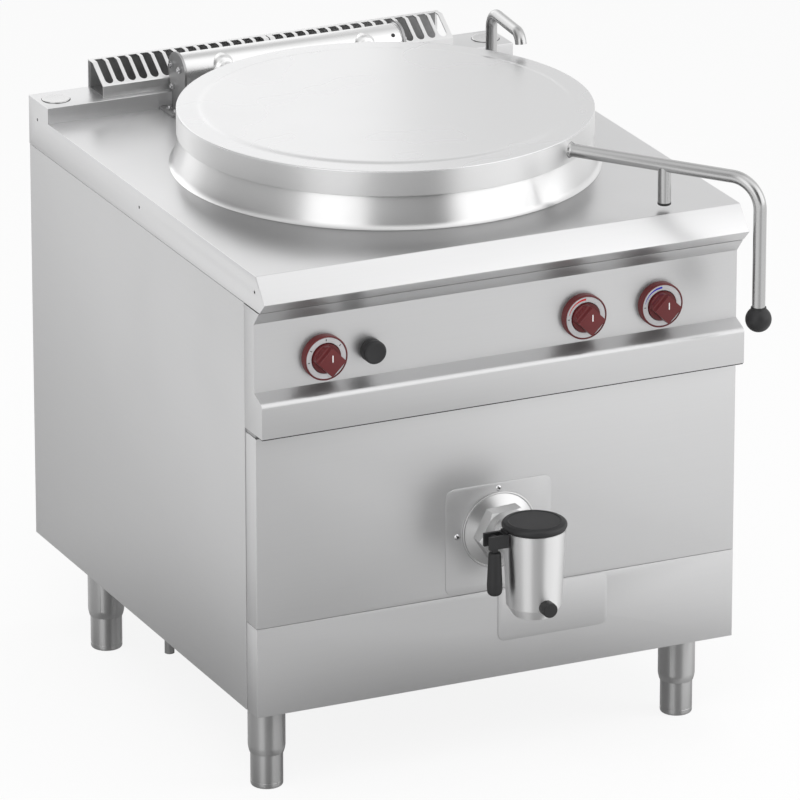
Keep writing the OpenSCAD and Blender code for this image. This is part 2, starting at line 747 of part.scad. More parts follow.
// The gas valve's body, bored for the cone that turns in it
module gas_valve() color(BRASS) difference() {
    block([x_gas - valve_w / 2, y_valve, control_z - valve_h / 2],
          [x_gas + valve_w / 2, y_valve + valve_d + 14, control_z + valve_h / 2]);
    to_front(x_gas, y_valve + valve_d, control_z) valve_bore(gap);
    to_front(x_gas, y_valve + 20, control_z) cylinder(r = spindle_r + 1, h = 40);
}

// The cone's shape, larger all round by c, from its back face to its front
module valve_bore(c) rotate_extrude() polygon([
    [0, valve_d - cone_start - cone_len - 2 * c], [cone_small_r + c, valve_d - cone_start - cone_len - 2 * c],
    [cone_big_r + c, valve_d - cone_start + c], [0, valve_d - cone_start + c]
]);

module gas_valve_cone() color(BRASS) difference() {
    to_front(x_gas, y_valve + valve_d, control_z) valve_bore(0);
    to_front(x_gas, y_valve + cone_start + gas_push + 10, control_z) cylinder(r = spindle_r + fit, h = 40);
}

// Knobs

knob_lift = gas_push + 1;
knob_len = bezel_t + knob_out - knob_lift;
y_knob = y_face - knob_lift;
spindle_in = 14;

module gas_spindle() color(CHROME)
    to_front(x_gas, y_valve + cone_start + 8, control_z)
        cylinder(r = spindle_r, h = y_valve + cone_start + 8 - y_knob + spindle_in);

// A knob from its back: a round foot and a grip whose two flanks fall in terraces, set at an angle
module knob(x) to_front(x, y_knob, control_z) difference() {
    union() {
        cylinder(r = knob_r, h = bezel_t - knob_lift + 1);
        intersection() {
            cylinder(r = knob_r - 0.5, h = knob_len);
            rotate([0, 0, -45]) translate([0, grip_w / 2, 0]) rotate([90, 0, 0])
                linear_extrude(grip_w) polygon(grip_profile);
        }
    }
    translate([0, 0, -1]) cylinder(r = spindle_r + fit, h = spindle_in + 1.5);
}

// Half the grip's section, mirrored: flat top, then two hollow terraces down to the foot
grip_base = bezel_t - knob_lift;
terrace = (knob_len - grip_base) / 3;
terrace_run = (knob_r - grip_w / 2) / 2 + 0.5;
grip_half = concat(
    [[knob_r, grip_base - 2], [knob_r, grip_base]],
    arc([grip_w / 2 + 2 * terrace_run, grip_base + terrace], terrace_run, 270, 180, 5),
    arc([grip_w / 2 + terrace_run, grip_base + 2 * terrace + 1], terrace_run, 270, 180, 5),
    [[grip_w / 2, knob_len - 1], [grip_w / 2 - 1, knob_len]]);
grip_profile = concat(grip_half, [for (i = [len(grip_half) - 1:-1:0]) [-grip_half[i][0], grip_half[i][1]]]);

module gas_knob() color(RED) knob(x_gas);

module hot_knob() color(RED) knob(x_hot);

module cold_knob() color(RED) knob(x_cold);

// The rings round the knobs, with a step that holds the scale
module knob_bezels() color(RED) for (x = knob_places) to_front(x, y_face, control_z) rotate_extrude() polygon([
    [knob_r + 1, 0], [bezel_r, 0], [bezel_r, bezel_t - 2], [bezel_r - 1.5, bezel_t], [bezel_r - 3, bezel_t],
    [bezel_r - 3, bezel_t - 0.8], [knob_r + 1, bezel_t - 0.8]
]);

// The igniter: its body behind the panel with a guide in front, and the cap that slides over the guide
guide_r = button_r - 4;

module igniter_body() color(BLACK) difference() {
    union() {
        to_front(x_igniter, y_face, control_z) cylinder(r = guide_r, h = button_out - button_push - 4);
        to_front(x_igniter, y_face + 46, control_z) cylinder(r = piezo_r, h = 46.5);
        to_front(x_igniter, y_post + 8, control_z) hexagon(26, 8);
    }
    to_front(x_igniter, y_face, control_z) cylinder(r = 5, h = 40);
}

module igniter_button() color(BLACK) to_front(x_igniter, y_face - button_push - 0.5, control_z) {
    inner = guide_r + gap;
    h = button_out - button_push - 0.5;
    rotate_extrude() polygon(concat(
        [[inner, 0], [button_r, 0]], arc([button_r - 3, h - 3], 3, 0, 90, 5),
        [[0, h], [0, h - 3.5], [inner, h - 3.5]]));
}

// Water

module water_spindle(x) to_front(x, y_post + 22, control_z)
    cylinder(r = spindle_r, h = y_post + 22 - y_knob + spindle_in);

module hot_spindle() color(CHROME) water_spindle(x_hot);

module cold_spindle() color(CHROME) water_spindle(x_cold);

valve_r = 15;
z_spout_run = z_chamber_top + pipe_r + 6;

// A water valve: a round body behind the panel with a nut, and a cross pipe up and down
module water_valve(x) difference() {
    union() {
        to_front(x, y_post + 56, control_z) cylinder(r = valve_r, h = 56);
        to_front(x, y_post + 10, control_z) hexagon(34, 10);
        translate([x, y_run, control_z - 26]) cylinder(r = 9, h = 52);
    }
    to_front(x, y_post + 24, control_z) cylinder(r = spindle_r + fit, h = 40);
}

module hot_water_valve() color(BRASS) water_valve(x_hot);

module cold_water_valve() color(BRASS) water_valve(x_cold);

// The water pipes: two supplies from under the base, and the mixed pipe to the spout
module water_pipes() color(CHROME) {
    pipe(hot_path, pipe_r);
    pipe(cold_path, pipe_r);
    inlet(hot_in, pipe_r);
    inlet(cold_in, pipe_r);
    pipe([[x_hot, y_run, control_z + 26], [x_hot, y_run, z_spout_run], [side_run_x, y_run, z_spout_run],
          [side_run_x, y_spout, z_spout_run], [x_spout, y_spout, z_spout_run],
          [x_spout, y_spout, z_under - 14]], pipe_r);
    bar([x_cold, y_run, control_z + 26], [x_cold, y_run, z_spout_run], pipe_r);
}

boss_r = 17;

module spout_base() color(CHROME) difference() {
    union() {
        translate([x_spout, y_spout, z_top]) rotate_extrude() polygon(concat(
            [[0, 0], [boss_r, 0], [boss_r, 3]], arc([boss_r - 4, 3], 4, 0, 60, 4), [[12, 16], [0, 16]]));
        translate([x_spout, y_spout, z_under - 14]) cylinder(r = spout_hole_r - 0.5, h = top_sheet + 14);
        translate([x_spout, y_spout, z_under - 8]) hexagon(32, 8);
    }
    translate([x_spout, y_spout, z_top - 4]) cylinder(r = spout_r + fit, h = 40);
}

// The spout: riser, quarter bend, arm and a hollow bend down to the open mouth
module spout() color(CHROME) translate([x_spout, y_spout, 0]) rotate([0, 0, -spout_turn]) {
    bend = 28;
    arm_z = z_top + spout_h;
    difference() {
        union() {
            translate([0, 0, z_top - 3]) cylinder(r = spout_r, h = arm_z - bend - z_top + 3);
            translate([0, -bend, arm_z - bend]) rotate([90, 0, -90]) rotate([0, 0, 90]) rotate_extrude(angle = 90)
                translate([bend, 0]) circle(r = spout_r);
            translate([0, -bend, arm_z]) rotate([90, 0, 0]) cylinder(r = spout_r, h = spout_reach - bend - mouth_bend);
            mouth(arm_z, mouth_turn) circle(r = spout_r);
        }
        mouth(arm_z, mouth_turn + 1) circle(r = spout_r - 1.5);
    }
}

mouth_bend = 20;
mouth_turn = 78;

// The bend at the spout's end, swept through the angle given
module mouth(arm_z, angle)
    translate([0, mouth_bend - spout_reach, arm_z - mouth_bend]) rotate([90, 0, 90]) rotate([0, 0, 90])
        rotate_extrude(angle = angle) translate([mouth_bend, 0]) children();

// Drain tap

cover_w = 176;
cover_h = 171;
cover_z = drain_z - 10.5;
neck_r = 25;
nut_turn = 3;
thread_len = 4;
screw_r = 2.5;
screw_head_r = 6;
cover_screw_places = [
    [0, drain_z + flange_r + 5.3], [-69, drain_z - 2], [69, drain_z - 2], [0, drain_z - 85]
];
y_nut = y_panel - cover_t - flange_t;

module drain_pipe() color(BRIGHT) {
    length = y_drain_in - y_nut + 2;
    to_front(0, y_drain_in, drain_z) difference() {
        cylinder(r = drain_r + drain_wall, h = length);
        translate([0, 0, -1]) cylinder(r = drain_r, h = length + 2);
    }
}

module tap_cover_plate() color(STEEL) difference() {
    to_front(0, y_panel, cover_z) linear_extrude(cover_t) polygon(rounded(cover_w, cover_h, 14));
    to_front(0, y_panel + 1, drain_z) cylinder(r = tap_hole_r, h = 10);
    for (p = cover_screw_places) to_front(p[0], y_panel + 1, p[1]) cylinder(r = screw_r + 0.2, h = 10);
}

bolt_y = [-16, 16];
bracket_t = 4;
bracket_x = hinge_len / 2 + 1;
foot_flange = 26;
foot_bolt_y = -12;

// Dome-headed screws of the tap's cover plate, and the hinge brackets' bolts
module screws_and_bolts() color(CHROME) {
    for (p = cover_screw_places) to_front(p[0], y_panel - cover_t, p[1]) {
        rotate_extrude() polygon(concat([[0, 0]],
            arc([0, -screw_head_r * sin(36)], screw_head_r, 36, 90, 5)));
        translate([0, 0, -7]) cylinder(r = screw_r, h = 7.5, $fn = 32);
    }
    mirror_x() {
        for (s = bolt_y) to_right(bracket_x + bracket_t, y_hinge + s, z_hinge + 9) bracket_bolt();
        to_right(bracket_x + bracket_t, y_hinge + 12, z_hinge - 25) bracket_bolt();
        for (s = [-14, 8]) translate([bracket_x + bracket_t + 14, y_hinge + foot_bolt_y + s, z_top + bracket_t])
            bracket_bolt();
    }
}

module bracket_bolt() {
    hexagon(10, 4);
    translate([0, 0, 4]) cylinder(r = 3, h = 2.5, $fn = 32);
}

module tap_flange() color(BRIGHT) to_front(0, y_panel - cover_t, drain_z) rotate_extrude() polygon([
    [drain_r + drain_wall + 0.1, 0], [flange_r, 0], [flange_r, 3.5], [flange_r - 0.8, 4], [flange_r - 2, 4],
    [flange_r - 3.2, 2.6], [nut_af / 2, flange_t], [drain_r + drain_wall + 0.1, flange_t]
]);

module tap_nut() color(BRIGHT) difference() {
    union() {
        to_front(0, y_nut, drain_z) intersection() {
            rotate([0, 0, nut_turn]) hexagon(nut_af, nut_t);
            rotate_extrude() polygon([
                [0, 0], [nut_af * 0.6, 0], [nut_af * 0.6, nut_t - 4], [nut_af * 0.52, nut_t], [0, nut_t]
            ]);
        }
        to_front(0, y_nut - nut_t, drain_z) hexagon(nut_af * 0.74, thread_len);
    }
    to_front(0, y_nut + 1, drain_z) cylinder(r = drain_r + drain_wall + 0.1, h = 3.1);
    to_front(0, y_nut - 1.9, drain_z) cylinder(r = neck_r + 0.1, h = 40);
}

z_cup_top = cap_z - cap_h;
cup_taper = 16;
cup_low_z = mouth_z + cup_taper;
z_plug = drain_z - 32;
z_plug_top = z_cup_top - 4;
bore_gap = 0.3;
port_r = 19;

// The tap's body: a tapered cup on a neck, bored for the plug and its outlet, with a boss in front
module tap_body() color(BRIGHT) difference() {
    union() {
        translate([0, y_tap, 0]) rotate_extrude() polygon([
            [0, mouth_z], [mouth_r, mouth_z], [cup_low_r, cup_low_z], [cup_top_r, z_cup_top], [0, z_cup_top]
        ]);
        to_front(0, y_nut - 2, drain_z) cylinder(r = neck_r, h = y_nut - 2 - y_tap);
        to_front(0, y_tap, boss_z) cylinder(r = boss_tube_r, h = cup_low_r + 8);
    }
    translate([0, y_tap, z_plug - bore_gap]) cylinder(r = plug_r + bore_gap, h = 200);
    translate([0, y_tap, mouth_z - 1]) cylinder(r = outlet_r, h = 200);
    to_front(0, y_nut + 1, drain_z) cylinder(r = port_r, h = tap_out - 1);
}

boss_z = mouth_z + 23;
boss_tube_r = 8;
boss_end_r = 11.6;

// The boss: a black sleeve that fits the cup's cone and hides the spigot that it is pushed on
module tap_boss() color(BLACK) difference() {
    to_front(0, y_tap - cup_low_r + 8, boss_z) rotate_extrude() polygon(concat(
        [[0, 0], [boss_end_r, 0]], arc([boss_end_r - 1.5, boss_len + 6.5], 1.5, 0, 90, 4),
        [[0, boss_len + 8]]));
    translate([0, y_tap, 0]) rotate_extrude() polygon([
        [0, mouth_z + 1], [cup_low_r + 0.1, mouth_z + 1], [cup_low_r + 0.1, cup_low_z],
        [cup_top_r + 0.1, z_cup_top], [0, z_cup_top]
    ]);
    to_front(0, y_tap, boss_z) cylinder(r = boss_tube_r + fit, h = cup_low_r + 8);
}

// The plug: at rest its port looks to the side, and a quarter turn brings it to the neck
module tap_plug() color(BRASS) difference() {
    union() {
        translate([0, y_tap, z_plug]) cylinder(r = plug_r, h = z_plug_top - z_plug);
        translate([0, y_tap, z_plug_top]) cylinder(r = 8, h = cap_z - 9 - z_plug_top);
    }
    to_right(0, y_tap, drain_z) cylinder(r = port_r, h = 60);
    translate([0, y_tap, z_plug - 1]) cylinder(r = port_r, h = drain_z - z_plug + 1);
}

cap_low = z_cup_top + gap;

// The cap: a black lid with a dished top and round edge, hollow for the plug's stem
module tap_cap() color(BLACK) difference() {
    translate([0, y_tap, 0]) rotate_extrude() polygon(concat(
        [[0, cap_low], [cap_r - 3, cap_low]],
        arc([cap_r - 6, cap_low + 5.5], 6, -45, 65, 8),
        [[cap_r - 9, cap_z], [cap_r - 11, cap_z - 0.8], [0, cap_z - 0.8]]));
    translate([0, y_tap, cap_low - 1]) cylinder(r = 8 + 0.1, h = cap_z - 8 - cap_low);
    tongue();
}

arm_len = 65.5;
pin_z = cap_low - 10;
pin_x = -arm_len;
bracket_h = 20.5;
tongue_h = 4;

// The fork's tongue, which lies in a pocket of the cap
module tongue() block([-cap_r - 2.5, y_tap - 8, cap_low - 1], [20 - cap_r, y_tap + 8, cap_low + tongue_h]);
lever_gap = 0.4;
lever_eye = 7;

// The fork on the cap's left side, slotted for the lever
module tap_bracket() color(BLACK) difference() {
    union() {
        block([pin_x - 14, y_tap - 12, cap_low - bracket_h], [pin_x + 24, y_tap + 12, cap_low]);
        tongue();
    }
    translate([0, y_tap, 0]) cylinder(r = cup_top_r + 1, h = cap_low);
    block([pin_x - 15, y_tap - lever_eye - lever_gap, 0],
          [pin_x + 11, y_tap + lever_eye + lever_gap, cap_low + 20]);
    to_front(pin_x, y_tap + 20, pin_z) cylinder(r = 2.5 + 0.02, h = 40, $fn = 32);
}

module tap_pin() color(CHROME) to_front(pin_x, y_tap + 12, pin_z) cylinder(r = 2.5, h = 24, $fn = 32);

lever_len = 88;

// The lever: an eye on the pin, a thin neck and a grip that grows towards its round end
module tap_lever() color(BLACK) difference() {
    union() {
        to_front(pin_x, y_tap + lever_eye, pin_z) cylinder(r = 7, h = 2 * lever_eye);
        translate([pin_x, y_tap, pin_z - lever_len]) rotate_extrude() polygon(concat(
            [[0, 0]], arc([3.5, 8], 8, -90, 0, 6), [[11.8, 18]], arc([5.5, lever_len - 22], 4, 0, 90, 4),
            [[5, lever_len - 16], [5, lever_len - 3], [0, lever_len - 3]]));
    }
    to_front(pin_x, y_tap + 20, pin_z) cylinder(r = 2.5 + fit, h = 40, $fn = 32);
}

// Hinge

tube_wall = 3;

// Bracket plates seen from the side: a round top about the hinge, and a foot in front of the raised strip
module hinge_brackets() color(BRIGHT) mirror_x() {
    r = hinge_r + 3;
    foot_back_y = y_upstand - y_hinge - 1;
    difference() {
        union() {
            translate([bracket_x, y_hinge, z_hinge]) rotate([90, 0, 90]) linear_extrude(bracket_t)
                polygon(concat(arc([0, 0], r, -16, 196, 24),
                    [[-r, z_top + bracket_t - z_hinge], [-r, z_top - z_hinge], [foot_back_y, z_top - z_hinge],
                     [foot_back_y, z_upstand - z_hinge + 1], [foot_back_y + 8, z_upstand - z_hinge + 6]]));
            block([bracket_x, y_hinge - r, z_top], [bracket_x + foot_flange, y_hinge + foot_back_y, z_top + bracket_t]);
        }
    }
    to_right(bracket_x - 18, y_hinge, z_hinge) cylinder(r = hinge_r - tube_wall - gap, h = 18);
}

coil_r = 18;
wire_r = 2.5;
turns = 7;
coil_pitch = 8;
coil_sides = 8;
coil_steps = 12;

// One point of the wire's skin: step i along the coil and corner j round the wire
function coil_point(i, j) =
    let (a = 360 * i / coil_steps, b = 360 * j / coil_sides, r = coil_r + wire_r * cos(b))
    [coil_pitch * i / coil_steps + wire_r * sin(b), r * cos(a), r * sin(a)];

// The lid's balance springs: coils on spigots inside the hinge tube
module hinge_springs() color(GALVANISED) mirror_x() {
    rings = turns * coil_steps;
    points = [for (i = [0:rings], j = [0:coil_sides - 1]) coil_point(i, j)];
    walls = [for (i = [0:rings - 1], j = [0:coil_sides - 1])
        let (k = (j + 1) % coil_sides, n = i * coil_sides, m = n + coil_sides) [n + j, n + k, m + k, m + j]];
    ends = [[for (j = [coil_sides - 1:-1:0]) j], [for (j = [0:coil_sides - 1]) rings * coil_sides + j]];
    translate([bracket_x - 18 - wire_r - coil_pitch * turns - 0.1, y_hinge, z_hinge])
        polyhedron(points = points, faces = concat(walls, ends));
}

// The tube that turns with the lid, with the two arms that reach the lid's skirt
module hinge_tube() color(BRIGHT) {
    difference() {
        to_right(-hinge_len / 2, y_hinge, z_hinge) cylinder(r = hinge_r, h = hinge_len);
        to_right(-hinge_len / 2 - 1, y_hinge, z_hinge) cylinder(r = hinge_r - tube_wall, h = hinge_len + 2);
        translate([hinge_len / 2 - 14, y_hinge, z_hinge]) rotate([50, 0, 0]) cylinder(r = 3, h = 60, $fn = 32);
    }
    mirror_x() difference() {
        union() {
            to_front(arm_x, y_hinge, z_arm) cylinder(r = arm_r, h = y_hinge - y_pan);
            to_front(arm_x, y_hinge, z_arm) rotate_extrude() polygon(concat(
                [[0, 0], [arm_r + dome_r - 3, 0]], arc([arm_r - 3, hinge_r - 8], dome_r, 0, 75, 8), [[0, hinge_r + 6]]));
        }
        to_right(arm_x - 40, y_hinge, z_hinge) cylinder(r = hinge_r - 0.5, h = 80);
        translate([0, y_pan, 0]) cylinder(r = lid_r, h = 2000);
    }
}

z_arm = z_hinge + 8;
dome_r = 14;

// Lid

z_skirt_low = z_lid - lid_skirt;
gasket_h = 6;

// The lid: a pressed disc with a raised field, and a straight skirt
module lid() color(BRIGHT) translate([0, y_pan, 0]) rotate_extrude($fn = 128) polygon(concat(
    [[0, z_lid + field_h], [field_r - 8, z_lid + field_h], [field_r, z_lid], [lid_r - 1.5, z_lid]],
    arc([lid_r - 1.5, z_lid - 1.5], 1.5, 90, 0, 3),
    [[lid_r, z_skirt_low], [lid_r - lid_sheet, z_skirt_low], [lid_r - lid_sheet, z_lid - lid_sheet],
     [field_r - 1, z_lid - lid_sheet], [field_r - 9, z_lid + field_h - lid_sheet], [0, z_lid + field_h - lid_sheet]]));

// The seal between the lid and the pan's rim, carried by a ring welded under the lid
module lid_gasket() color(SEAL) translate([0, y_pan, 0]) rotate_extrude($fn = 128) polygon([
    [pan_r + 3, z_rim + gap], [pan_r + 9, z_rim + gap], [pan_r + 9, z_rim + gap + gasket_h],
    [pan_r + 7, z_rim + gap + gasket_h], [pan_r + 7, z_lid - lid_sheet], [pan_r + 5, z_lid - lid_sheet],
    [pan_r + 5, z_rim + gap + gasket_h], [pan_r + 3, z_rim + gap + gasket_h]
]);

z_handle = z_lid - handle_drop;
reach_in = handle_reach - handle_bend;
post_r = 10;
post_gap = 8;
tip_h = 4;
elbow = 0.2;

// Height of the handle's arm at distance d from the lid's middle
function arm_z(d) = z_handle + (d - lid_r) * tan(handle_rise);

// The handle: a rising arm, an elbow a little thicker than the tube, the upright end and the rest post
module lid_handle() color(BRIGHT) translate([0, y_pan, 0]) rotate([0, 0, handle_angle]) difference() {
    union() {
        translate([lid_r - 4, 0, arm_z(lid_r - 4)]) rotate([0, 90 - handle_rise, 0])
            cylinder(r = handle_r, h = (reach_in - lid_r + 4) / cos(handle_rise));
        translate([reach_in, 0, arm_z(reach_in) - handle_bend]) rotate([90, 0, 0])
            rotate_extrude(angle = 90 + handle_rise) translate([handle_bend, 0]) circle(r = handle_r + elbow);
        translate([handle_reach, 0, ball_z + 4])
            cylinder(r = handle_r, h = arm_z(reach_in) - handle_bend - ball_z - 2);
        translate([post_reach, 0, z_top + post_gap + tip_h])
            cylinder(r = post_r, h = arm_z(post_reach) - z_top - post_gap - tip_h);
    }
    translate([0, 0, z_rim]) cylinder(r = lid_r, h = 200);
}

// The black ball on the handle's end and the black tip of its rest post
module handle_caps() color(BLACK) translate([0, y_pan, 0]) rotate([0, 0, handle_angle]) {
    difference() {
        translate([handle_reach, 0, ball_z]) sphere(r = ball_r);
        translate([handle_reach, 0, ball_z + 4]) cylinder(r = handle_r + fit, h = 40);
    }
    translate([post_reach, 0, z_top + post_gap]) cylinder(r = post_r + 0.3, h = tip_h);
}

// Feet

sleeve_r = foot_r + gap + sleeve_wall;
foot_len = sleeve_z + foot_travel + 14;

foot_places = [
    [-x_foot, y_mid - foot_front], [x_foot, y_mid - foot_front],
    [-x_foot, y_mid + foot_back], [x_foot, y_mid + foot_back]
];

module foot_sleeves() color(CHROME) for (p = foot_places) translate([p[0], p[1], 0]) rotate_extrude() polygon([
    [foot_r + gap, sleeve_z], [foot_r + gap + 1, sleeve_z - 2], [sleeve_r - 1, sleeve_z + 3], [sleeve_r, sleeve_z + 8],
    [sleeve_r, leg_h], [foot_r + gap, leg_h]
]);

// A foot: a round pad with a rolled lower edge that screws out of its sleeve
module foot(i) color(CHROME) translate([foot_places[i][0], foot_places[i][1], 0]) rotate_extrude()
    polygon(concat([[0, 0]], arc([foot_r - 4, 4], 4, -90, 0, 5), [[foot_r, foot_len], [0, foot_len]]));

module foot_front_left() foot(0);

module foot_front_right() foot(1);

module foot_back_left() foot(2);

module foot_back_right() foot(3);

worktop();
upstand_caps();
control_panel();
front_panel();
plinth_panel();
plinth_cover();
left_side_panel();
right_side_panel();
back_panel();
base_frame();
inner_frame();
flue_duct();
flue_grille();
pan_collar();
pan_vessel();
pan_strainer();
heating_chamber();
insulation();
burner();
gas_pipes();
gas_valve();
gas_valve_cone();
gas_spindle();
gas_knob();
igniter_body();
igniter_button();
hot_water_valve();
cold_water_valve();
hot_spindle();
cold_spindle();
hot_knob();
cold_knob();
knob_bezels();
water_pipes();
spout_base();
spout();
drain_pipe();
tap_cover_plate();
screws_and_bolts();
tap_flange();
tap_nut();
tap_body();
tap_boss();
tap_plug();
tap_cap();
tap_bracket();
tap_pin();
tap_lever();
hinge_brackets();
hinge_springs();
hinge_tube();
lid();
lid_gasket();
lid_handle();
handle_caps();
foot_sleeves();
foot_front_left();
foot_front_right();
foot_back_left();
foot_back_right();
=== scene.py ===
"""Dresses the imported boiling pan: a finish for every sheet, casting and moulding, and finer pieces.

The scene is in metres in the part's own frame: +X right, +Y back, +Z up, with the floor at z = 0. Each class
holds one sub-assembly of the machine and builds and dresses its pieces. Sizes of the part are written in
millimetres, and are scaled as a piece is put in its place.
"""

from __future__ import annotations

import logging
import math
from dataclasses import dataclass, field
from enum import Enum
from functools import cache

import bmesh
import bpy
import numpy as np
from mathutils import Matrix, Vector

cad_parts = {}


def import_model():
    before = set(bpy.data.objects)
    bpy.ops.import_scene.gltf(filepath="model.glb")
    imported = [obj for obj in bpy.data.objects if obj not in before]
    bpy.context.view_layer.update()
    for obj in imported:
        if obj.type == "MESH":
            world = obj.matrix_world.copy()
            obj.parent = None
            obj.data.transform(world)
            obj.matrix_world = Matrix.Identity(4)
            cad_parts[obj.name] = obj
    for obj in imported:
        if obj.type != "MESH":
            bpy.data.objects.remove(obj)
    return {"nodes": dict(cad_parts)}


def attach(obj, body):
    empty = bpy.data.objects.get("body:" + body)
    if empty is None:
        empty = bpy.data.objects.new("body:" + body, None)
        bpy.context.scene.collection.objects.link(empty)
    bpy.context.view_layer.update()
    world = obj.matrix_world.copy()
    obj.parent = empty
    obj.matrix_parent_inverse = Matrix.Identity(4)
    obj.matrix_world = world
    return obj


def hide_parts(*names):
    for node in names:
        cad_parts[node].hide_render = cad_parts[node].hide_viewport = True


log = logging.getLogger("boiling_pan")

Array = np.ndarray
Point = tuple[float, float, float]
Curve = tuple[tuple[float, float], ...]
Feeds = dict[str | int, object]
BMesh = bmesh.types.BMesh
Mesh = bpy.types.Mesh
Material = bpy.types.Material
Tree = bpy.types.NodeTree
Node = bpy.types.Node
Socket = bpy.types.NodeSocket
Outputs = bpy.types.NodeOutputs

MM = 0.001  # metres in a millimetre
WELD = 2e-6  # a new mesh's points closer than this are one
CAD_WELD = 4e-6  # the same for the loose triangles of a CAD node
SLIVER = 1e-7  # edges shorter than this are taken out
FLAT_ANGLE = 0.6  # CAD faces within this many degrees are one flat face
FOLD_ANGLE = 24.0  # CAD edges sharper than this are eased
EASED_SMOOTH = 28.0  # faces of an eased piece are shaded as one up to this angle


# Shapes


def arc(cx: float, cy: float, r: float, a0: float, a1: float, n: int = 8) -> Array:
    """Points on a circle: centre plus r times (cos a, sin a), with a running evenly from a0 to a1 degrees.

    Args:
        cx: Centre's first coordinate.
        cy: Centre's second coordinate.
        r: Radius.
        a0: First angle in degrees.
        a1: Last angle in degrees.
        n: Number of steps.

    Returns:
        An array of n + 1 points.
    """
    a = np.radians(np.linspace(a0, a1, n + 1))
    return np.column_stack([cx + r * np.cos(a), cy + r * np.sin(a)])


def chain(*runs: object) -> Array:
    """Joins points and runs of points into one outline.

    Args:
        runs: Arrays of points, or single points as tuples.

    Returns:
        All the points in order, one row each.
    """
    return np.vstack([np.atleast_2d(np.asarray(r, float)) for r in runs])


def grid_faces(nu: int, nv: int, close_u: bool, close_v: bool) -> Array:
    """Quads of a grid of nu by nv points, whose point (i, j) has the number i * nv + j.

    Args:
        nu: Points along the first direction.
        nv: Points along the second direction.
        close_u: Whether the last row joins the first.
        close_v: Whether the last column joins the first.

    Returns:
        An array of quads, four point numbers a row.
    """
    i = np.arange(nu if close_u else nu - 1)
    j = np.arange(nv if close_v else nv - 1)
    a, b = np.meshgrid(i, j, indexing="ij")
    a2, b2 = (a + 1) % nu, (b + 1) % nv
    return np.stack([a * nv + b, a2 * nv + b, a2 * nv + b2, a * nv + b2], axis=-1).reshape(-1, 4)


@dataclass
class Solid:
    """A mesh in the making: points and quads as arrays, and end caps as rings of point numbers."""

    points: Array = field(default_factory=lambda: np.zeros((0, 3)))
    quads: Array = field(default_factory=lambda: np.zeros((0, 4), int))
    caps: list[list[int]] = field(default_factory=list)

    def moved(self, matrix: Matrix) -> "Solid":
        """The same solid carried by a 4x4 matrix: each point p becomes M p.

        Args:
            matrix: Where to carry it.

        Returns:
            The carried solid.
        """
        m = np.array(matrix)
        return Solid(self.points @ m[:3, :3].T + m[:3, 3], self.quads, self.caps)

    def __add__(self, other: "Solid") -> "Solid":
        """Both solids as one mesh, with the second one's point numbers shifted past the first's."""
        n = len(self.points)
        return Solid(
            np.vstack([self.points, other.points]),
            np.vstack([self.quads, other.quads + n]),
            self.caps + [[k + n for k in c] for c in other.caps],
        )


def turned(profile: Array, steps: int = 96) -> Solid:
    """A turned solid: the outline (r, z) swept round Z, with its point at angle a at (r cos a, r sin a, z).

    Args:
        profile: Outline of the section, one (r, z) a row. Its ends are joined if they aren't on the axis.
        steps: Steps round the axis.

    Returns:
        The solid.
    """
    a = np.linspace(0, 2 * np.pi, steps, endpoint=False)
    r, z = profile[:, 0], profile[:, 1]
    pts = np.stack([np.outer(np.cos(a), r), np.outer(np.sin(a), r), np.tile(z, (steps, 1))], axis=-1)
    on_axis = abs(r[0]) < 1e-9 and abs(r[-1]) < 1e-9
    return Solid(pts.reshape(-1, 3), grid_faces(steps, len(r), True, not on_axis))


def tube(path: Array, radius: Array, side: Array, steps: int = 48) -> Solid:
    """A round bar along a flat path: each point is the path plus r (cos a N + sin a B), with B square to the
    path's plane and N square to B and to the path's direction.

    Args:
        path: Points of the middle line, one a row.
        radius: Radius at each point of the path.
        side: The direction B, square to the path's plane.
        steps: Steps round the bar.

    Returns:
        The solid.
    """
    along = np.gradient(path, axis=0)
    along /= np.linalg.norm(along, axis=1, keepdims=True)
    b = np.asarray(side, float) / np.linalg.norm(side)
    n = np.cross(b, along)
    n /= np.linalg.norm(n, axis=1, keepdims=True)
    a = np.linspace(0, 2 * np.pi, steps, endpoint=False)
    ring = np.cos(a)[None, :, None] * n[:, None, :] + np.sin(a)[None, :, None] * b
    pts = path[:, None, :] + radius[:, None, None] * ring
    caps = [list(range(steps)), list(range((len(path) - 1) * steps, len(path) * steps))]
    return Solid(pts.reshape(-1, 3), grid_faces(len(path), steps, False, True), caps)


def slab(outline: Array, z0: float, z1: float) -> Solid:
    """A flat plate: the closed outline (x, y) at z0 and at z1, with walls between them.

    Args:
        outline: Points of the outline, one a row.
        z0: Lower face.
        z1: Upper face.

    Returns:
        The solid.
    """
    k = len(outline)
    lo, hi = (np.column_stack([outline, np.full(k, z)]) for z in (z0, z1))
    return Solid(np.vstack([lo, hi]), grid_faces(2, k, False, True), [list(range(k)), list(range(k, 2 * k))])


def rounded(w: float, h: float, r: float, n: int = 6) -> Array:
    """Outline of a rectangle w by h about the origin, with corners of radius r.

    Args:
        w: Width.
        h: Height.
        r: Corner radius.
        n: Steps in each corner.

    Returns:
        The outline's points.
    """
    x, y = w / 2 - r, h / 2 - r
    corners = ((x, y), (-x, y), (-x, -y), (x, -y))
    return chain(*(arc(cx, cy, r, 90 * k, 90 * k + 90, n) for k, (cx, cy) in enumerate(corners)))


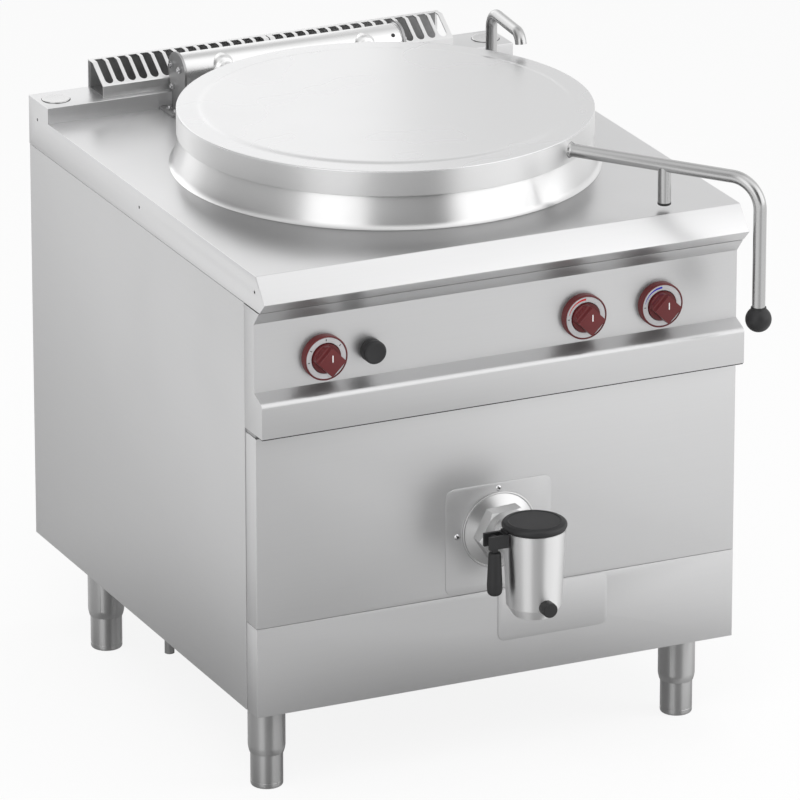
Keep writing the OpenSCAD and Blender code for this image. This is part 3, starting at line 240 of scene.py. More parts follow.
def soften(profile: Array, radii: dict[int, float], n: int = 5) -> Array:
    """Rounds corners of an outline: corner p is replaced by a curve between the points a and b at distance d
    before and after it, q(t) = (1-t)^2 a + 2t(1-t) p + t^2 b.

    Args:
        profile: The outline's points.
        radii: Distance d for each corner that is rounded, by its number.
        n: Steps in each curve.

    Returns:
        The outline with its corners rounded.
    """
    k = len(profile)
    t = np.linspace(0, 1, n + 1)[:, None]
    runs = []
    for i, p in enumerate(profile):
        d = radii.get(i, 0)
        if not d:
            runs.append(p[None, :])
            continue
        before, after = profile[i - 1], profile[(i + 1) % k]
        a = p + (before - p) * d / np.linalg.norm(before - p)
        b = p + (after - p) * d / np.linalg.norm(after - p)
        runs.append((1 - t) ** 2 * a + 2 * t * (1 - t) * p + t ** 2 * b)
    return np.vstack(runs)


def place(x: float, y: float, z: float, axis: str = "Z", angle: float = 0.0) -> Matrix:
    """Carries what is built along +Z in millimetres to its place: scale, turn, lay along the axis, move.

    Args:
        x: Across, in millimetres.
        y: Back, in millimetres.
        z: Up, in millimetres.
        axis: Z, X, -X or -Y: the direction that +Z takes.
        angle: Turn about +Z beforehand, in degrees.

    Returns:
        The matrix.
    """
    lay = {
        "Z": Matrix.Identity(4),
        "X": Matrix.Rotation(math.pi / 2, 4, "Y"),
        "-X": Matrix.Rotation(-math.pi / 2, 4, "Y"),
        "-Y": Matrix.Rotation(math.pi / 2, 4, "X"),
    }[axis]
    turn = Matrix.Rotation(math.radians(angle), 4, "Z")
    return Matrix.Translation((x / 1000, y / 1000, z / 1000)) @ lay @ turn @ Matrix.Scale(MM, 4)


def close_and_shade(mesh: Mesh, smooth: float) -> None:
    """Closes seams and poles, turns faces outwards, and shades smoothly up to an angle.

    Args:
        mesh: The mesh to finish.
        smooth: Angle in degrees up to which two faces are shaded as one surface.
    """
    bm = bmesh.new()
    bm.from_mesh(mesh)
    bmesh.ops.remove_doubles(bm, verts=bm.verts, dist=WELD)
    bmesh.ops.dissolve_degenerate(bm, edges=bm.edges, dist=SLIVER)
    bmesh.ops.recalc_face_normals(bm, faces=bm.faces)
    shade(bm, smooth)
    bm.to_mesh(mesh)
    bm.free()


def shade(bm: BMesh, smooth: float) -> None:
    """Marks faces smooth, and edges sharp where their faces meet at more than the angle.

    Args:
        bm: The mesh being edited.
        smooth: The angle in degrees.
    """
    limit = math.radians(smooth)
    for f in bm.faces:
        f.smooth = True
    for e in bm.edges:
        e.smooth = len(e.link_faces) == 2 and e.calc_face_angle(0.0) < limit


def mount(mesh: Mesh, body: str, finish: Material, stands_for: tuple[str, ...]) -> None:
    """Makes a finished mesh a piece of the part, with the mesh's name.

    Args:
        mesh: The mesh, in place.
        body: Body that it moves with.
        finish: Its material.
        stands_for: CAD nodes that it replaces.
    """
    obj = bpy.data.objects.new(mesh.name, mesh)
    bpy.context.scene.collection.objects.link(obj)
    mesh.materials.clear()
    mesh.materials.append(finish)
    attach(obj, body)
    if stands_for:
        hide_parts(*stands_for)
    log.info("%s: %d faces on %s", mesh.name, len(mesh.polygons), body)


def piece(
    name: str,
    solid: Solid,
    body: str,
    finish: Material,
    stands_for: tuple[str, ...] = (),
    smooth: float = 38.0,
) -> None:
    """Makes a solid a piece of the part, which rides on a body and takes its finish.

    Args:
        name: The piece's name.
        solid: Its shape, in place.
        body: Body that it moves with.
        finish: Its material.
        stands_for: CAD nodes that it replaces.
        smooth: Angle up to which faces are shaded as one.
    """
    mesh = bpy.data.meshes.new(name)
    mesh.from_pydata(solid.points.tolist(), [], solid.quads.tolist() + solid.caps)
    close_and_shade(mesh, smooth)
    mount(mesh, body, finish, stands_for)


def eased(node: str, body: str, finish: Material, width: float, shortest: float) -> None:
    """A copy of a CAD node with its long sharp edges eased to small rounds, which replaces the node.

    Args:
        node: The CAD node.
        body: Body that it moves with.
        finish: Its material.
        width: Width of the rounds in metres.
        shortest: Edges shorter than this stay sharp, in metres.
    """
    mesh = FRAME["nodes"][node].data.copy()
    mesh.name = node + "_eased"
    bm = bmesh.new()
    bm.from_mesh(mesh)
    bmesh.ops.remove_doubles(bm, verts=bm.verts, dist=CAD_WELD)
    bmesh.ops.dissolve_limit(bm, angle_limit=math.radians(FLAT_ANGLE), verts=bm.verts, edges=bm.edges)
    fold = math.radians(FOLD_ANGLE)
    sharp = [
        e for e in bm.edges
        if len(e.link_faces) == 2 and e.calc_face_angle(0.0) > fold and e.calc_length() > shortest
    ]
    bmesh.ops.bevel(bm, geom=sharp, offset=width, segments=3, profile=0.5, affect="EDGES", clamp_overlap=True)
    shade(bm, EASED_SMOOTH)
    bm.to_mesh(mesh)
    bm.free()
    mount(mesh, body, finish, (node,))


def dress(finish: Material, *nodes: str) -> None:
    """Gives CAD nodes whose shape is right a finish of their own.

    Args:
        finish: The material.
        nodes: The nodes.
    """
    for node in nodes:
        slots = FRAME["nodes"][node].data.materials
        slots.clear()
        slots.append(finish)
        log.info("%s dressed in %s", node, finish.name)


# Finishes


class Brush(Enum):
    """Which way a sheet was brushed: how fast its grain changes along X, Y and Z."""

    ALONG_X = (5.0, 420.0, 420.0)
    ALONG_Y = (420.0, 5.0, 420.0)
    NONE = (60.0, 60.0, 60.0)


def feed(tree: Tree, node: Node, feeds: Feeds) -> None:
    """Gives each input of a node its value, or links it where a socket is given.

    Args:
        tree: The node tree.
        node: The node.
        feeds: Value or output socket for each input, by the input's name or number.
    """
    for key, value in feeds.items():
        if isinstance(value, Socket):
            tree.links.new(value, node.inputs[key])
        else:
            node.inputs[key].default_value = value


def add(tree: Tree, kind: str, feeds: Feeds | None = None, **settings: object) -> Node:
    """Adds a shader node to a tree.

    Args:
        tree: The node tree.
        kind: The node's type, without the words that all begin with.
        feeds: What its inputs get, as for feed().
        settings: The node's own settings, which are set before its inputs.

    Returns:
        The node.
    """
    node = tree.nodes.new("ShaderNode" + kind)
    for key, value in settings.items():
        setattr(node, key, value)
    feed(tree, node, feeds or {})
    return node


def new_group(name: str, inputs: dict[str, float | None], outputs: tuple[str, ...]) -> tuple[Tree, Outputs, Node]:
    """An empty shader node group with named inputs and outputs.

    Args:
        name: The group's name.
        inputs: Each input's starting value, or None for a vector.
        outputs: The outputs, all of them numbers.

    Returns:
        The group, the sockets that bring its inputs, and its output node.
    """
    group = bpy.data.node_groups.new(name, "ShaderNodeTree")
    for key, value in inputs.items():
        kind = "NodeSocketVector" if value is None else "NodeSocketFloat"
        socket = group.interface.new_socket(key, in_out="INPUT", socket_type=kind)
        if value is not None:
            socket.default_value = value
    for key in outputs:
        group.interface.new_socket(key, in_out="OUTPUT", socket_type="NodeSocketFloat")
    entry = group.nodes.new("NodeGroupInput")
    return group, entry.outputs, group.nodes.new("NodeGroupOutput")


@cache
def grain_group() -> Tree:
    """Fine streaks of a brushed sheet, tone = 0.5 + strength (streaks - 0.5), and slow clouds beside them."""
    g, fed, out = new_group("brushed_grain", {"Vector": None, "Plain": None, "Strength": 0.3}, ("Tone", "Cloud"))
    streak = add(g, "TexNoise", {"Vector": fed["Vector"], "Scale": 1.0, "Detail": 4.0, "Roughness": 0.65})
    cloud = add(g, "TexNoise", {"Vector": fed["Plain"], "Scale": 3.5, "Detail": 2.0})
    centre = add(g, "Math", {0: streak.outputs["Fac"], 1: 0.5}, operation="SUBTRACT")
    tone = add(g, "Math", {0: centre.outputs[0], 1: fed["Strength"], 2: 0.5}, operation="MULTIPLY_ADD")
    feed(g, out, {"Tone": tone.outputs[0], "Cloud": cloud.outputs["Fac"]})
    return g


@cache
def smudge_group() -> Tree:
    """Faint wiping marks: soft noise, raised to a mask between its two edges."""
    g, fed, out = new_group("wiping_marks", {"Vector": None, "Scale": 7.0}, ("Mask",))
    noise = add(g, "TexNoise", {"Vector": fed["Vector"], "Scale": fed["Scale"], "Detail": 1.5, "Distortion": 0.2})
    edges = {"Value": noise.outputs["Fac"], "From Min": 0.4, "From Max": 0.85}
    feed(g, out, {"Mask": add(g, "MapRange", edges, interpolation_type="SMOOTHSTEP").outputs["Result"]})
    return g


@cache
def stipple_group() -> Tree:
    """The fine stipple of a moulded surface, as a height, and its slow change of tone."""
    g, fed, out = new_group("moulded_stipple", {"Vector": None, "Scale": 900.0}, ("Height", "Tone"))
    fine = add(g, "TexNoise", {"Vector": fed["Vector"], "Scale": fed["Scale"], "Detail": 2.0})
    slow = add(g, "TexNoise", {"Vector": fed["Vector"], "Scale": 40.0})
    feed(g, out, {"Height": fine.outputs["Fac"], "Tone": slow.outputs["Fac"]})
    return g


@dataclass
class Board:
    """One material's node tree, with short ways to add what most finishes need."""

    name: str

    def __post_init__(self) -> None:
        """Makes the material with its Principled shader and Object coordinates."""
        self.material = bpy.data.materials.new(self.name)
        self.material.use_nodes = True
        self.tree = self.material.node_tree
        self.at = add(self.tree, "TexCoord").outputs["Object"]

    def finish(self, feeds: Feeds) -> None:
        """Feeds inputs of the Principled shader."""
        feed(self.tree, self.tree.nodes["Principled BSDF"], feeds)

    def group(self, group: Tree, **feeds: object) -> Outputs:
        """Adds one of the shared groups, and gives its outputs."""
        return add(self.tree, "Group", feeds, node_tree=group).outputs

    def grain(self, brush: Brush, strength: float) -> Outputs:
        """Adds brushed grain, which runs the brush's way."""
        scaled = add(self.tree, "Mapping", {"Scale": brush.value, "Vector": self.at})
        return self.group(grain_group(), Strength=strength, Vector=scaled.outputs["Vector"], Plain=self.at)

    def roughen(self, value: Socket, low: float, high: float) -> None:
        """Feeds a value, spread from low to high, into the roughness."""
        spread = add(self.tree, "MapRange", {"To Min": low, "To Max": high, "Value": value})
        self.finish({"Roughness": spread.outputs["Result"]})

    def tint(self, value: Socket, low: Point, high: Point, reflection_shade: float) -> None:
        """Mixes the base colour between two tones, and times it by 1 + glossy (reflection_shade - 1) where other
        metal reflects it, which paints shade into those reflections.

        Args:
            value: What mixes the tones.
            low: The tone at 0.
            high: The tone at 1.
            reflection_shade: Share of the colour that is left where it is seen in other metal; below 1 it paints
                shade into those reflections.
        """
        tone = add(self.tree, "Mix", {"A": (*low, 1), "B": (*high, 1), "Factor": value}, data_type="RGBA")
        # Painted shade: the colour is darkened where other metal reflects it.
        glossy = add(self.tree, "LightPath").outputs["Is Glossy Ray"]
        level = add(self.tree, "Math", {0: glossy, 1: reflection_shade - 1.0, 2: 1.0}, operation="MULTIPLY_ADD")
        sockets = {0: tone.outputs["Result"], "Scale": level.outputs[0]}
        self.finish({"Base Color": add(self.tree, "VectorMath", sockets, operation="SCALE").outputs["Vector"]})

    def stretch(self, amount: float) -> None:
        """Stretches reflections across the fine grooves that run round Z, as on spun and drawn steel.

        Args:
            amount: Strength of the stretching; with 0 the surface stays plain.
        """
        if amount:
            round_z = add(self.tree, "Tangent", direction_type="RADIAL", axis="Z").outputs["Tangent"]
            self.finish({"Tangent": round_z, "Anisotropic": amount, "Anisotropic Rotation": 0.25})

    def bump(self, height: Socket, distance: float, strength: float) -> None:
        """Raises the surface by a height."""
        raised = add(self.tree, "Bump", {"Distance": distance, "Strength": strength, "Height": height})
        self.finish({"Normal": raised.outputs["Normal"]})


def tones(tone: float, spread: float, blue: float) -> tuple[Point, Point]:
    """A metal's darker and lighter tone: tone less and plus spread, with blue times its factor."""
    low, high = tone - spread, tone + spread
    return (low, low, low * blue), (high, high, high * blue)


@dataclass(frozen=True)
class SteelSheet:
    """Stainless sheet, brushed one way, with faint wiping marks."""

    name: str
    tone: float = 0.62
    rough: float = 0.36
    brush: Brush = Brush.ALONG_X
    streak: float = 0.35
    spread: float = 0.035
    metal: float = 0.9
    # Share of the colour kept where other metal reflects it; below 1 this is painted shade.
    reflection_shade: float = 0.75

    def build(self) -> Material:
        """The material: grain moves the tone and the surface, its clouds and the marks the roughness."""
        b = Board(self.name)
        b.finish({"Metallic": self.metal})
        grain = b.grain(self.brush, self.streak)
        b.tint(grain["Tone"], *tones(self.tone, self.spread, 1.005), self.reflection_shade)
        marks = b.group(smudge_group(), Vector=b.at)
        sockets = {0: marks["Mask"], 1: 0.25, 2: grain["Cloud"]}
        both = add(b.tree, "Math", sockets, operation="MULTIPLY_ADD").outputs[0]
        b.roughen(both, self.rough - 0.05, self.rough + 0.06)
        b.bump(grain["Tone"], 0.00004, 0.25)
        return b.material


@dataclass(frozen=True)
class BrightMetal:
    """Polished steel or chrome: nearly a mirror, with a few wiping marks."""

    name: str
    tone: float = 0.78
    rough: float = 0.12
    blue: float = 1.0
    stretch: float = 0.0
    # Share of the colour kept where other metal reflects it; below 1 this is painted shade.
    reflection_shade: float = 1.0

    def build(self) -> Material:
        """The material: marks move the roughness a little, and the grain its tone."""
        b = Board(self.name)
        b.finish({"Metallic": 1.0})
        b.stretch(self.stretch)
        grain = b.grain(Brush.NONE, 0.3)
        b.tint(grain["Tone"], *tones(self.tone, 0.02, self.blue), self.reflection_shade)
        marks = b.group(smudge_group(), Scale=11.0, Vector=b.at)
        b.roughen(marks["Mask"], self.rough, self.rough + 0.05)
        return b.material


@dataclass(frozen=True)
class Moulding:
    """Moulded plastic or rubber, with its fine stipple and slightly uneven tone."""

    name: str
    colour: Point = (0.04, 0.04, 0.043)
    rough: float = 0.42
    stipple: float = 0.35
    metal: float = 0.0
    # Share of the colour kept where other metal reflects it; below 1 this is painted shade.
    reflection_shade: float = 1.0

    def build(self) -> Material:
        """The material: the stipple as bump, the slow tone in colour and roughness."""
        b = Board(self.name)
        b.finish({"Metallic": self.metal})
        skin = b.group(stipple_group(), Vector=b.at)
        low, high = (tuple(k * v for v in self.colour) for k in (0.88, 1.12))
        b.tint(skin["Tone"], low, high, self.reflection_shade)
        b.roughen(skin["Tone"], self.rough - 0.04, self.rough + 0.05)
        b.bump(skin["Height"], 0.00006, self.stipple)
        return b.material


@dataclass
class Finishes:
    """Every finish of the part, by the use that it has."""

    def __post_init__(self) -> None:
        """Builds the materials."""
        self.top = SteelSheet("worktop_steel", 0.78, 0.3, Brush.ALONG_X).build()
        self.front = SteelSheet("front_steel", 0.72, 0.36, Brush.ALONG_X).build()
        self.side = SteelSheet("side_steel", 0.7, 0.38, Brush.ALONG_Y).build()
        self.back = SteelSheet("back_sheet", 0.45, 0.5, Brush.NONE, 0.5, 0.06).build()
        self.frame = SteelSheet("frame_zinc", 0.48, 0.45, Brush.NONE, 0.8, 0.08).build()
        self.lid = SteelSheet("lid_steel", 0.84, 0.25, Brush.NONE, 0.3, 0.012).build()
        # The skirt and the spun steel keep less of their colour in reflections in other metal: painted shade.
        self.skirt = BrightMetal("skirt_steel", 0.93, 0.44, stretch=0.96, reflection_shade=0.45).build()
        self.polished = BrightMetal("polished_steel", 0.74, 0.17).build()
        self.inside = BrightMetal("pan_inside_steel", 0.66, 0.26).build()
        self.chrome = BrightMetal("bright_chrome", 0.72, 0.08, 1.01).build()
        self.leg = BrightMetal("leg_chrome", 0.68, 0.38, stretch=0.94).build()
        self.satin = BrightMetal("satin_tube", 0.6, 0.22).build()
        # A lighter copy of the satin tube's steel: it paints the highlight along the hinge tube.
        self.bar = BrightMetal("hinge_tube_lit_steel", 0.92, 0.26).build()
        self.turned = BrightMetal("turned_steel", 0.72, 0.32).build()
        self.cup = BrightMetal("tap_steel", 0.95, 0.44, stretch=0.97).build()
        self.spun = BrightMetal("spun_steel", 0.92, 0.32, stretch=0.88, reflection_shade=0.45).build()
        self.grille = BrightMetal("grille_steel", 0.88, 0.32).build()
        self.grey = SteelSheet("grey_steel", 0.45, 0.4, Brush.NONE, 0.4, 0.04).build()
        self.brass = Moulding("valve_brass", (0.62, 0.42, 0.16), 0.32, 0.2, 1.0).build()
        # Black mouldings; the same finish paints the shade in the hinge tube's hole and the screws' sockets.
        self.black = Moulding("black_moulding_and_painted_shade", (0.018, 0.018, 0.019), 0.46).build()
        # The red moulding keeps little of its colour where the front reflects it: painted shade beside the knobs.
        self.red = Moulding("dark_red_moulding", (0.125, 0.014, 0.016), 0.36, 0.15, reflection_shade=0.15).build()
        self.scale = Moulding("scale_face", (0.56, 0.56, 0.57), 0.5, 0.1).build()
        self.mark_white = Moulding("white_print", (0.85, 0.85, 0.85), 0.5, 0.05).build()
        self.mark_red = Moulding("red_print", (0.6, 0.01, 0.01), 0.5, 0.05).build()
        self.mark_blue = Moulding("blue_print", (0.01, 0.01, 0.45), 0.5, 0.05).build()
        # Black print of the scales; it also paints the shade under the lip.
        self.mark_black = Moulding("black_print_and_painted_shade", (0.02, 0.02, 0.02), 0.5, 0.05).build()
        self.wool = Moulding("mineral_wool", (0.62, 0.56, 0.4), 0.95, 1.0).build()
        self.seal = Moulding("seal_silicone", (0.5, 0.48, 0.44), 0.55, 0.3).build()
        # Heat tint of the burner; the same finish paints the shade inside the flue.
        self.heat_tint_and_shade = SteelSheet("heat_tint_and_shade_steel", 0.3, 0.5, Brush.NONE, 0.9, 0.08).build()


# The part


@dataclass(frozen=True)
class Datum:
    """Heights and places that several pieces share, in millimetres."""

    worktop: float = 850.0
    strip: float = 875.6
    pan_y: float = 63.75
    hinge_y: float = 426.75
    hinge_z: float = 911.0
    face_y: float = -337.25
    panel_y: float = -340.25
    drain_z: float = 387.0
    control_z: float = 707.0


AT = Datum()


@dataclass
class Cabinet:
    """Sheets, frame and inner works of the cabinet."""

    finish: Finishes
    lip_y: float = -353.6
    cap_x: float = 370.0
    cap_y: float = 483.75
    plate_x: float = 239.0
    plate_y: float = 488.5
    lining_y: float = 516.6

    def build(self) -> None:
        """Eases the sheets' folds and dresses everything else."""
        f = self.finish
        sheets = (
            ("worktop", f.top, 0.0014, 0.03),
            ("control_panel", f.front, 0.0008, 0.03),
            ("front_panel", f.front, 0.0006, 0.03),
            ("plinth_panel", f.front, 0.0006, 0.03),
            ("left_side_panel", f.side, 0.0006, 0.03),
            ("right_side_panel", f.side, 0.0006, 0.03),
            ("plinth_cover", f.front, 0.0004, 0.002),
        )
        for node, finish, width, shortest in sheets:
            eased(node, "cabinet", finish, width, shortest)
        eased("back_panel", "cabinet", f.back, 0.0005, 0.05)
        eased("flue_grille", "cabinet", f.grille, 0.0004, 0.01)
        dress(f.frame, "base_frame", "inner_frame", "flue_duct", "heating_chamber", "hinge_springs")
        dress(f.wool, "insulation")
        dress(f.heat_tint_and_shade, "burner")
        dress(f.brass, "gas_valve", "gas_valve_cone", "hot_water_valve", "cold_water_valve", "tap_plug")
        dress(f.grey, "gas_pipes")
        dress(f.chrome, "water_pipes", "gas_spindle", "hot_spindle", "cold_spindle")
        dress(f.polished, "drain_pipe", "pan_strainer")
        dress(f.inside, "pan_vessel")
        dress(f.black, "igniter_body")
        self.strip_caps()
        self.flue_shade()
        # A dark strip under the lip's front edge: painted shade of the gap below the lip.
        joint = slab(rounded(798, 22, 1), 598.3, 599.9).moved(place(0, self.lip_y, 0))
        piece("lip_shade_strip", joint, "cabinet", f.mark_black)

    def flue_shade(self) -> None:
        """Dark plates under the grille on both sides of the duct, and a dark lining at its back: painted shade for
        the dark inside the flue.
        """
        plates = Solid()
        for x in (-self.plate_x, self.plate_x):
            plates += slab(rounded(118, 59, 2), 0.2, 0.9).moved(place(x, self.plate_y, AT.strip))
        lining = slab(rounded(594, 0.8, 0.3, 2), 1, 43).moved(place(0, self.lining_y, AT.strip))
        piece("flue_shade", plates + lining, "cabinet", self.finish.heat_tint_and_shade)

    def strip_caps(self) -> None:
        """The two round caps on the raised strip, each with a shallow dish and a dark joint line round it."""
        cap = soften(np.array([(0, 1.3), (14, 1.4), (19, 2.0), (22, 1.4), (22, 0), (0, 0)]), {2: 2.0, 3: 0.7})
        joint = np.array([(22.05, 0), (22.9, 0), (22.9, 0.12), (22.05, 0.12)])
        caps, joints = Solid(), Solid()
        for x in (-self.cap_x, self.cap_x):
            at = place(x, self.cap_y, AT.strip)
            caps += turned(cap, 64).moved(at)
            joints += turned(joint, 64).moved(at)
        piece("strip_caps", caps, "cabinet", self.finish.polished, ("upstand_caps",))
        piece("strip_cap_joints", joints, "cabinet", self.finish.black)


@dataclass
class PanAndLid:
    """The collar round the pan, the lid, its seal and its handle."""

    finish: Finishes
    lid_r: float = 320.0
    lid_z: float = 939.5
    edge_z: float = 900.0
    steps: int = 256
    handle_turn: float = -54.0
    arm_r: float = 10.0
    arm_z: float = 919.0
    arm_slope: float = 0.5
    reach: float = 641.0
    bend: float = 46.0
    post_at: float = 480.0
    ball_r: float = 20.0
    ball_z: float = 703.0

    def build(self) -> None:
        """Builds collar, lid and handle, and dresses the seal."""
        self.collar()
        self.lid()
        self.handle()
        dress(self.finish.seal, "lid_gasket")

    def collar(self) -> None:
        """The collar: a cone with a rolled bead where it is welded to the worktop."""
        z = AT.worktop
        outline = np.array([(324, z), (329, z), (329, z + 1.6), (326.2, z + 3), (313, z + 53), (311, z + 53)])
        outline = soften(outline, {2: 1.2, 3: 6.0, 4: 0.9}, 6)
        ring = turned(outline, self.steps).moved(place(0, AT.pan_y, 0))
        piece("collar_spun", ring, "cabinet", self.finish.spun, ("pan_collar",), 50)

    def lid(self) -> None:
        """The lid: a pressed disc with a raised field, a rolled shoulder and a skirt with a turned edge."""
        r, z, low = self.lid_r, self.lid_z, self.edge_z
        top = soften(np.array([(0, z + 3), (280, z + 3), (288, z), (r, z), (r, low)]), {1: 5.0, 2: 4.0, 3: 1.8}, 6)
        under = np.array([(r, z - 2.2), (r - 2, z - 2.2), (287, z - 2), (279, z + 1), (0, z + 1)])
        solid = turned(chain(top[:-1], under), self.steps).moved(place(0, AT.pan_y, 0))
        piece("lid_pressed", solid, "lid", self.finish.lid, ("lid",), 30)
        skirt = [(r - 2, z - 2.2), (r, z - 2.2), (r, low), (r - 2, low)]
        band = turned(soften(np.array(skirt), {2: 0.7, 3: 0.7}, 4), self.steps).moved(place(0, AT.pan_y, 0))
        piece("lid_skirt", band, "lid", self.finish.skirt, (), 50)

    def along(self, d: Array, z: Array) -> Array:
        """Points over the handle's line: (d cos a, y + d sin a, z), with a its direction, y the lid's middle.

        Args:
            d: Distances from the lid's middle.
            z: Heights.

        Returns:
            The points.
        """
        a = math.radians(self.handle_turn)
        return np.column_stack([d * math.cos(a), AT.pan_y + d * math.sin(a), z]) / 1000

    def handle(self) -> None:
        """The handle: an arm welded to the skirt, an elbow, the upright grip, and the rest post below the arm."""
        slope, r, bend = math.tan(math.radians(self.arm_slope)), self.arm_r, self.bend
        weld_d = np.array([319.0, 320.0, 321.5, 323.5, 326.0])
        weld_r = np.array([12.6, 12.6, 11.6, 10.5, 10.0])
        inner = self.reach - bend
        turn = arc(inner, self.arm_z + (inner - self.lid_r) * slope - bend, bend, 90.5, 0, 28)
        down = np.array([(self.reach, z) for z in np.linspace(turn[-1, 1] - 1, self.ball_z + 5, 6)])
        line = chain(np.column_stack([weld_d, self.arm_z + (weld_d - self.lid_r) * slope]), turn, down)
        radius = np.concatenate([weld_r, np.full(len(line) - len(weld_r), r)]) / 1000
        a = math.radians(self.handle_turn)
        side = np.array([math.sin(a), -math.cos(a), 0.0])
        arm = tube(self.along(line[:, 0], line[:, 1]), radius, side)
        post_z = np.array([861.0, 862.0, 863.0, 905.0, 918.0])
        post = tube(self.along(np.full(5, self.post_at), post_z), np.array([9.4, r, r, r, r]) / 1000, side)
        piece("handle_tube", arm + post, "lid", self.finish.satin, ("lid_handle",), 40)
        neck = ((11.8, 16.6), (11.8, 19.0), (11.2, 19.6), (10.05, 19.6), (10.05, 5), (0, 5))
        knob = chain((0, -self.ball_r), arc(0, 0, self.ball_r, -88, 52, 28), *neck)
        ball = turned(knob, 64).moved(place(0, 0, self.ball_z))
        tip = turned(chain((0, 0), arc(8.3, 2, 2, -90, 0, 5), (10.3, 4), (0, 4)), 48).moved(place(0, 0, 858))
        offset = self.along(np.array([self.reach, self.post_at]), np.zeros(2))
        ball.points += offset[0]
        tip.points += offset[1]
        piece("handle_ends", ball + tip, "lid", self.finish.black, ("handle_caps",), 40)


@dataclass
class Hinge:
    """The hinge at the back: the tube with its two arms, the bracket plates, their bolts and the washers."""

    finish: Finishes
    half: float = 185.0
    arm_x: float = 121.0
    hole_x: float = 171.0
    hole_r: float = 29.75
    hole_turn: float = 50.0
    skirt_r: float = 318.8
    bracket_x: float = 190.0
    flange_x: float = 204.0

    def build(self) -> None:
        """Builds the tube and its trim, and eases the brackets."""
        f = self.finish
        eased("hinge_brackets", "cabinet", f.grey, 0.0005, 0.006)
        self.tube_and_arms()
        section = soften(np.array([(27.2, 0.1), (31.0, 0.1), (31.0, 0.9), (27.2, 0.9)]), {1: 0.2, 2: 0.2}, 2)
        washers = Solid()
        for side, axis in ((-1, "-X"), (1, "X")):
            washers += turned(section, 96).moved(place(side * self.half, AT.hinge_y, AT.hinge_z, axis))
        piece("hinge_washers", washers, "cabinet", f.chrome)
        # A black disc on the tube where its hole is: painted shade of the hole's inside.
        hole = turned(np.array([(0, 0), (3.3, 0), (3.3, 0.5), (0, 0.5)]), 32)
        a = math.radians(self.hole_turn)
        y, z = AT.hinge_y - self.hole_r * math.sin(a), AT.hinge_z + self.hole_r * math.cos(a)
        hole = hole.moved(place(self.hole_x, y, z) @ Matrix.Rotation(a, 4, "X"))
        piece("hinge_hole_shade", hole, "lid", f.black)
        self.screws()

    def tube_and_arms(self) -> None:
        """The tube with eased ends, and each arm: a dome on the tube that runs out into a bar up to the skirt.

        The bar's end follows the skirt's circle: y is at least the lid's middle plus sqrt(r^2 - x^2).
        """
        h = self.half
        wall = soften(np.array([(27, -h), (30, -h), (30, h), (27, h)]), {1: 0.8, 2: 0.8}, 3)
        solid = turned(wall, 128).moved(place(0, AT.hinge_y, AT.hinge_z, "X"))
        neck = ((11.4, 35.6), (9.6, 38.0), (9.0, 41.0), (9.0, 90), (0, 90))
        root = chain((0, 2), (19.4, 2), arc(5.4, 22, 14, 0, 58, 10), *neck)
        for x in (-self.arm_x, self.arm_x):
            arm = turned(root, 48).moved(place(x, AT.hinge_y, AT.hinge_z + 8, "-Y"))
            skirt = AT.pan_y / 1000 + np.sqrt((self.skirt_r / 1000) ** 2 - arm.points[:, 0] ** 2)
            arm.points[:, 1] = np.maximum(arm.points[:, 1], skirt)
            solid += arm
        piece("hinge_bar", solid, "lid", self.finish.bar, ("hinge_tube",), 40)

    def screws(self) -> None:
        """Domed screws of the tap's plate with a black mark on each head that paints the shade of its socket, and
        the brackets' hexagon bolts on washers.
        """
        chrome, black = self.finish.chrome, self.finish.black
        heads, sockets, bolts = Solid(), Solid(), Solid()
        dome = chain((0, 2.47), arc(0, -3.53, 6, 88, 36, 6), (0, 0))
        shank = np.array([(0, -7), (2.5, -7), (2.5, 0.1), (0, 0.1)])
        for x, z in ((0, 453.3), (-69, 385), (69, 385), (0, 302)):
            at = place(x, AT.panel_y - 1.2, z, "-Y")
            heads += turned(dome, 32).moved(at) + turned(shank, 24).moved(at)
            # A black mark on each head: painted shade of its socket.
            sockets += slab(arc(0, 0, 2.0, 0, 300, 5), 1.6, 2.52).moved(at)
        for side, axis in ((-1, "-X"), (1, "X")):
            for y, z in ((-16, 9), (16, 9), (12, -25)):
                bolts += self.bolt().moved(place(side * self.bracket_x, AT.hinge_y + y, AT.hinge_z + z, axis))
            for y in (-26, -4):
                bolts += self.bolt().moved(place(side * self.flange_x, AT.hinge_y + y, AT.worktop + 4))
        piece("screws_and_bolts_fine", heads + bolts, "cabinet", chrome, ("screws_and_bolts",), 32)
        piece("screw_socket_shade", sockets, "cabinet", black)

    def bolt(self) -> Solid:
        """One bolt: a hexagon head with a small turned tip on it."""
        return hexagon_nut(10.0, 4.0, 0.6) + turned(chain((0, 3.9), (3, 3.9), (3, 6.1), (2.6, 6.5), (0, 6.5)), 32)


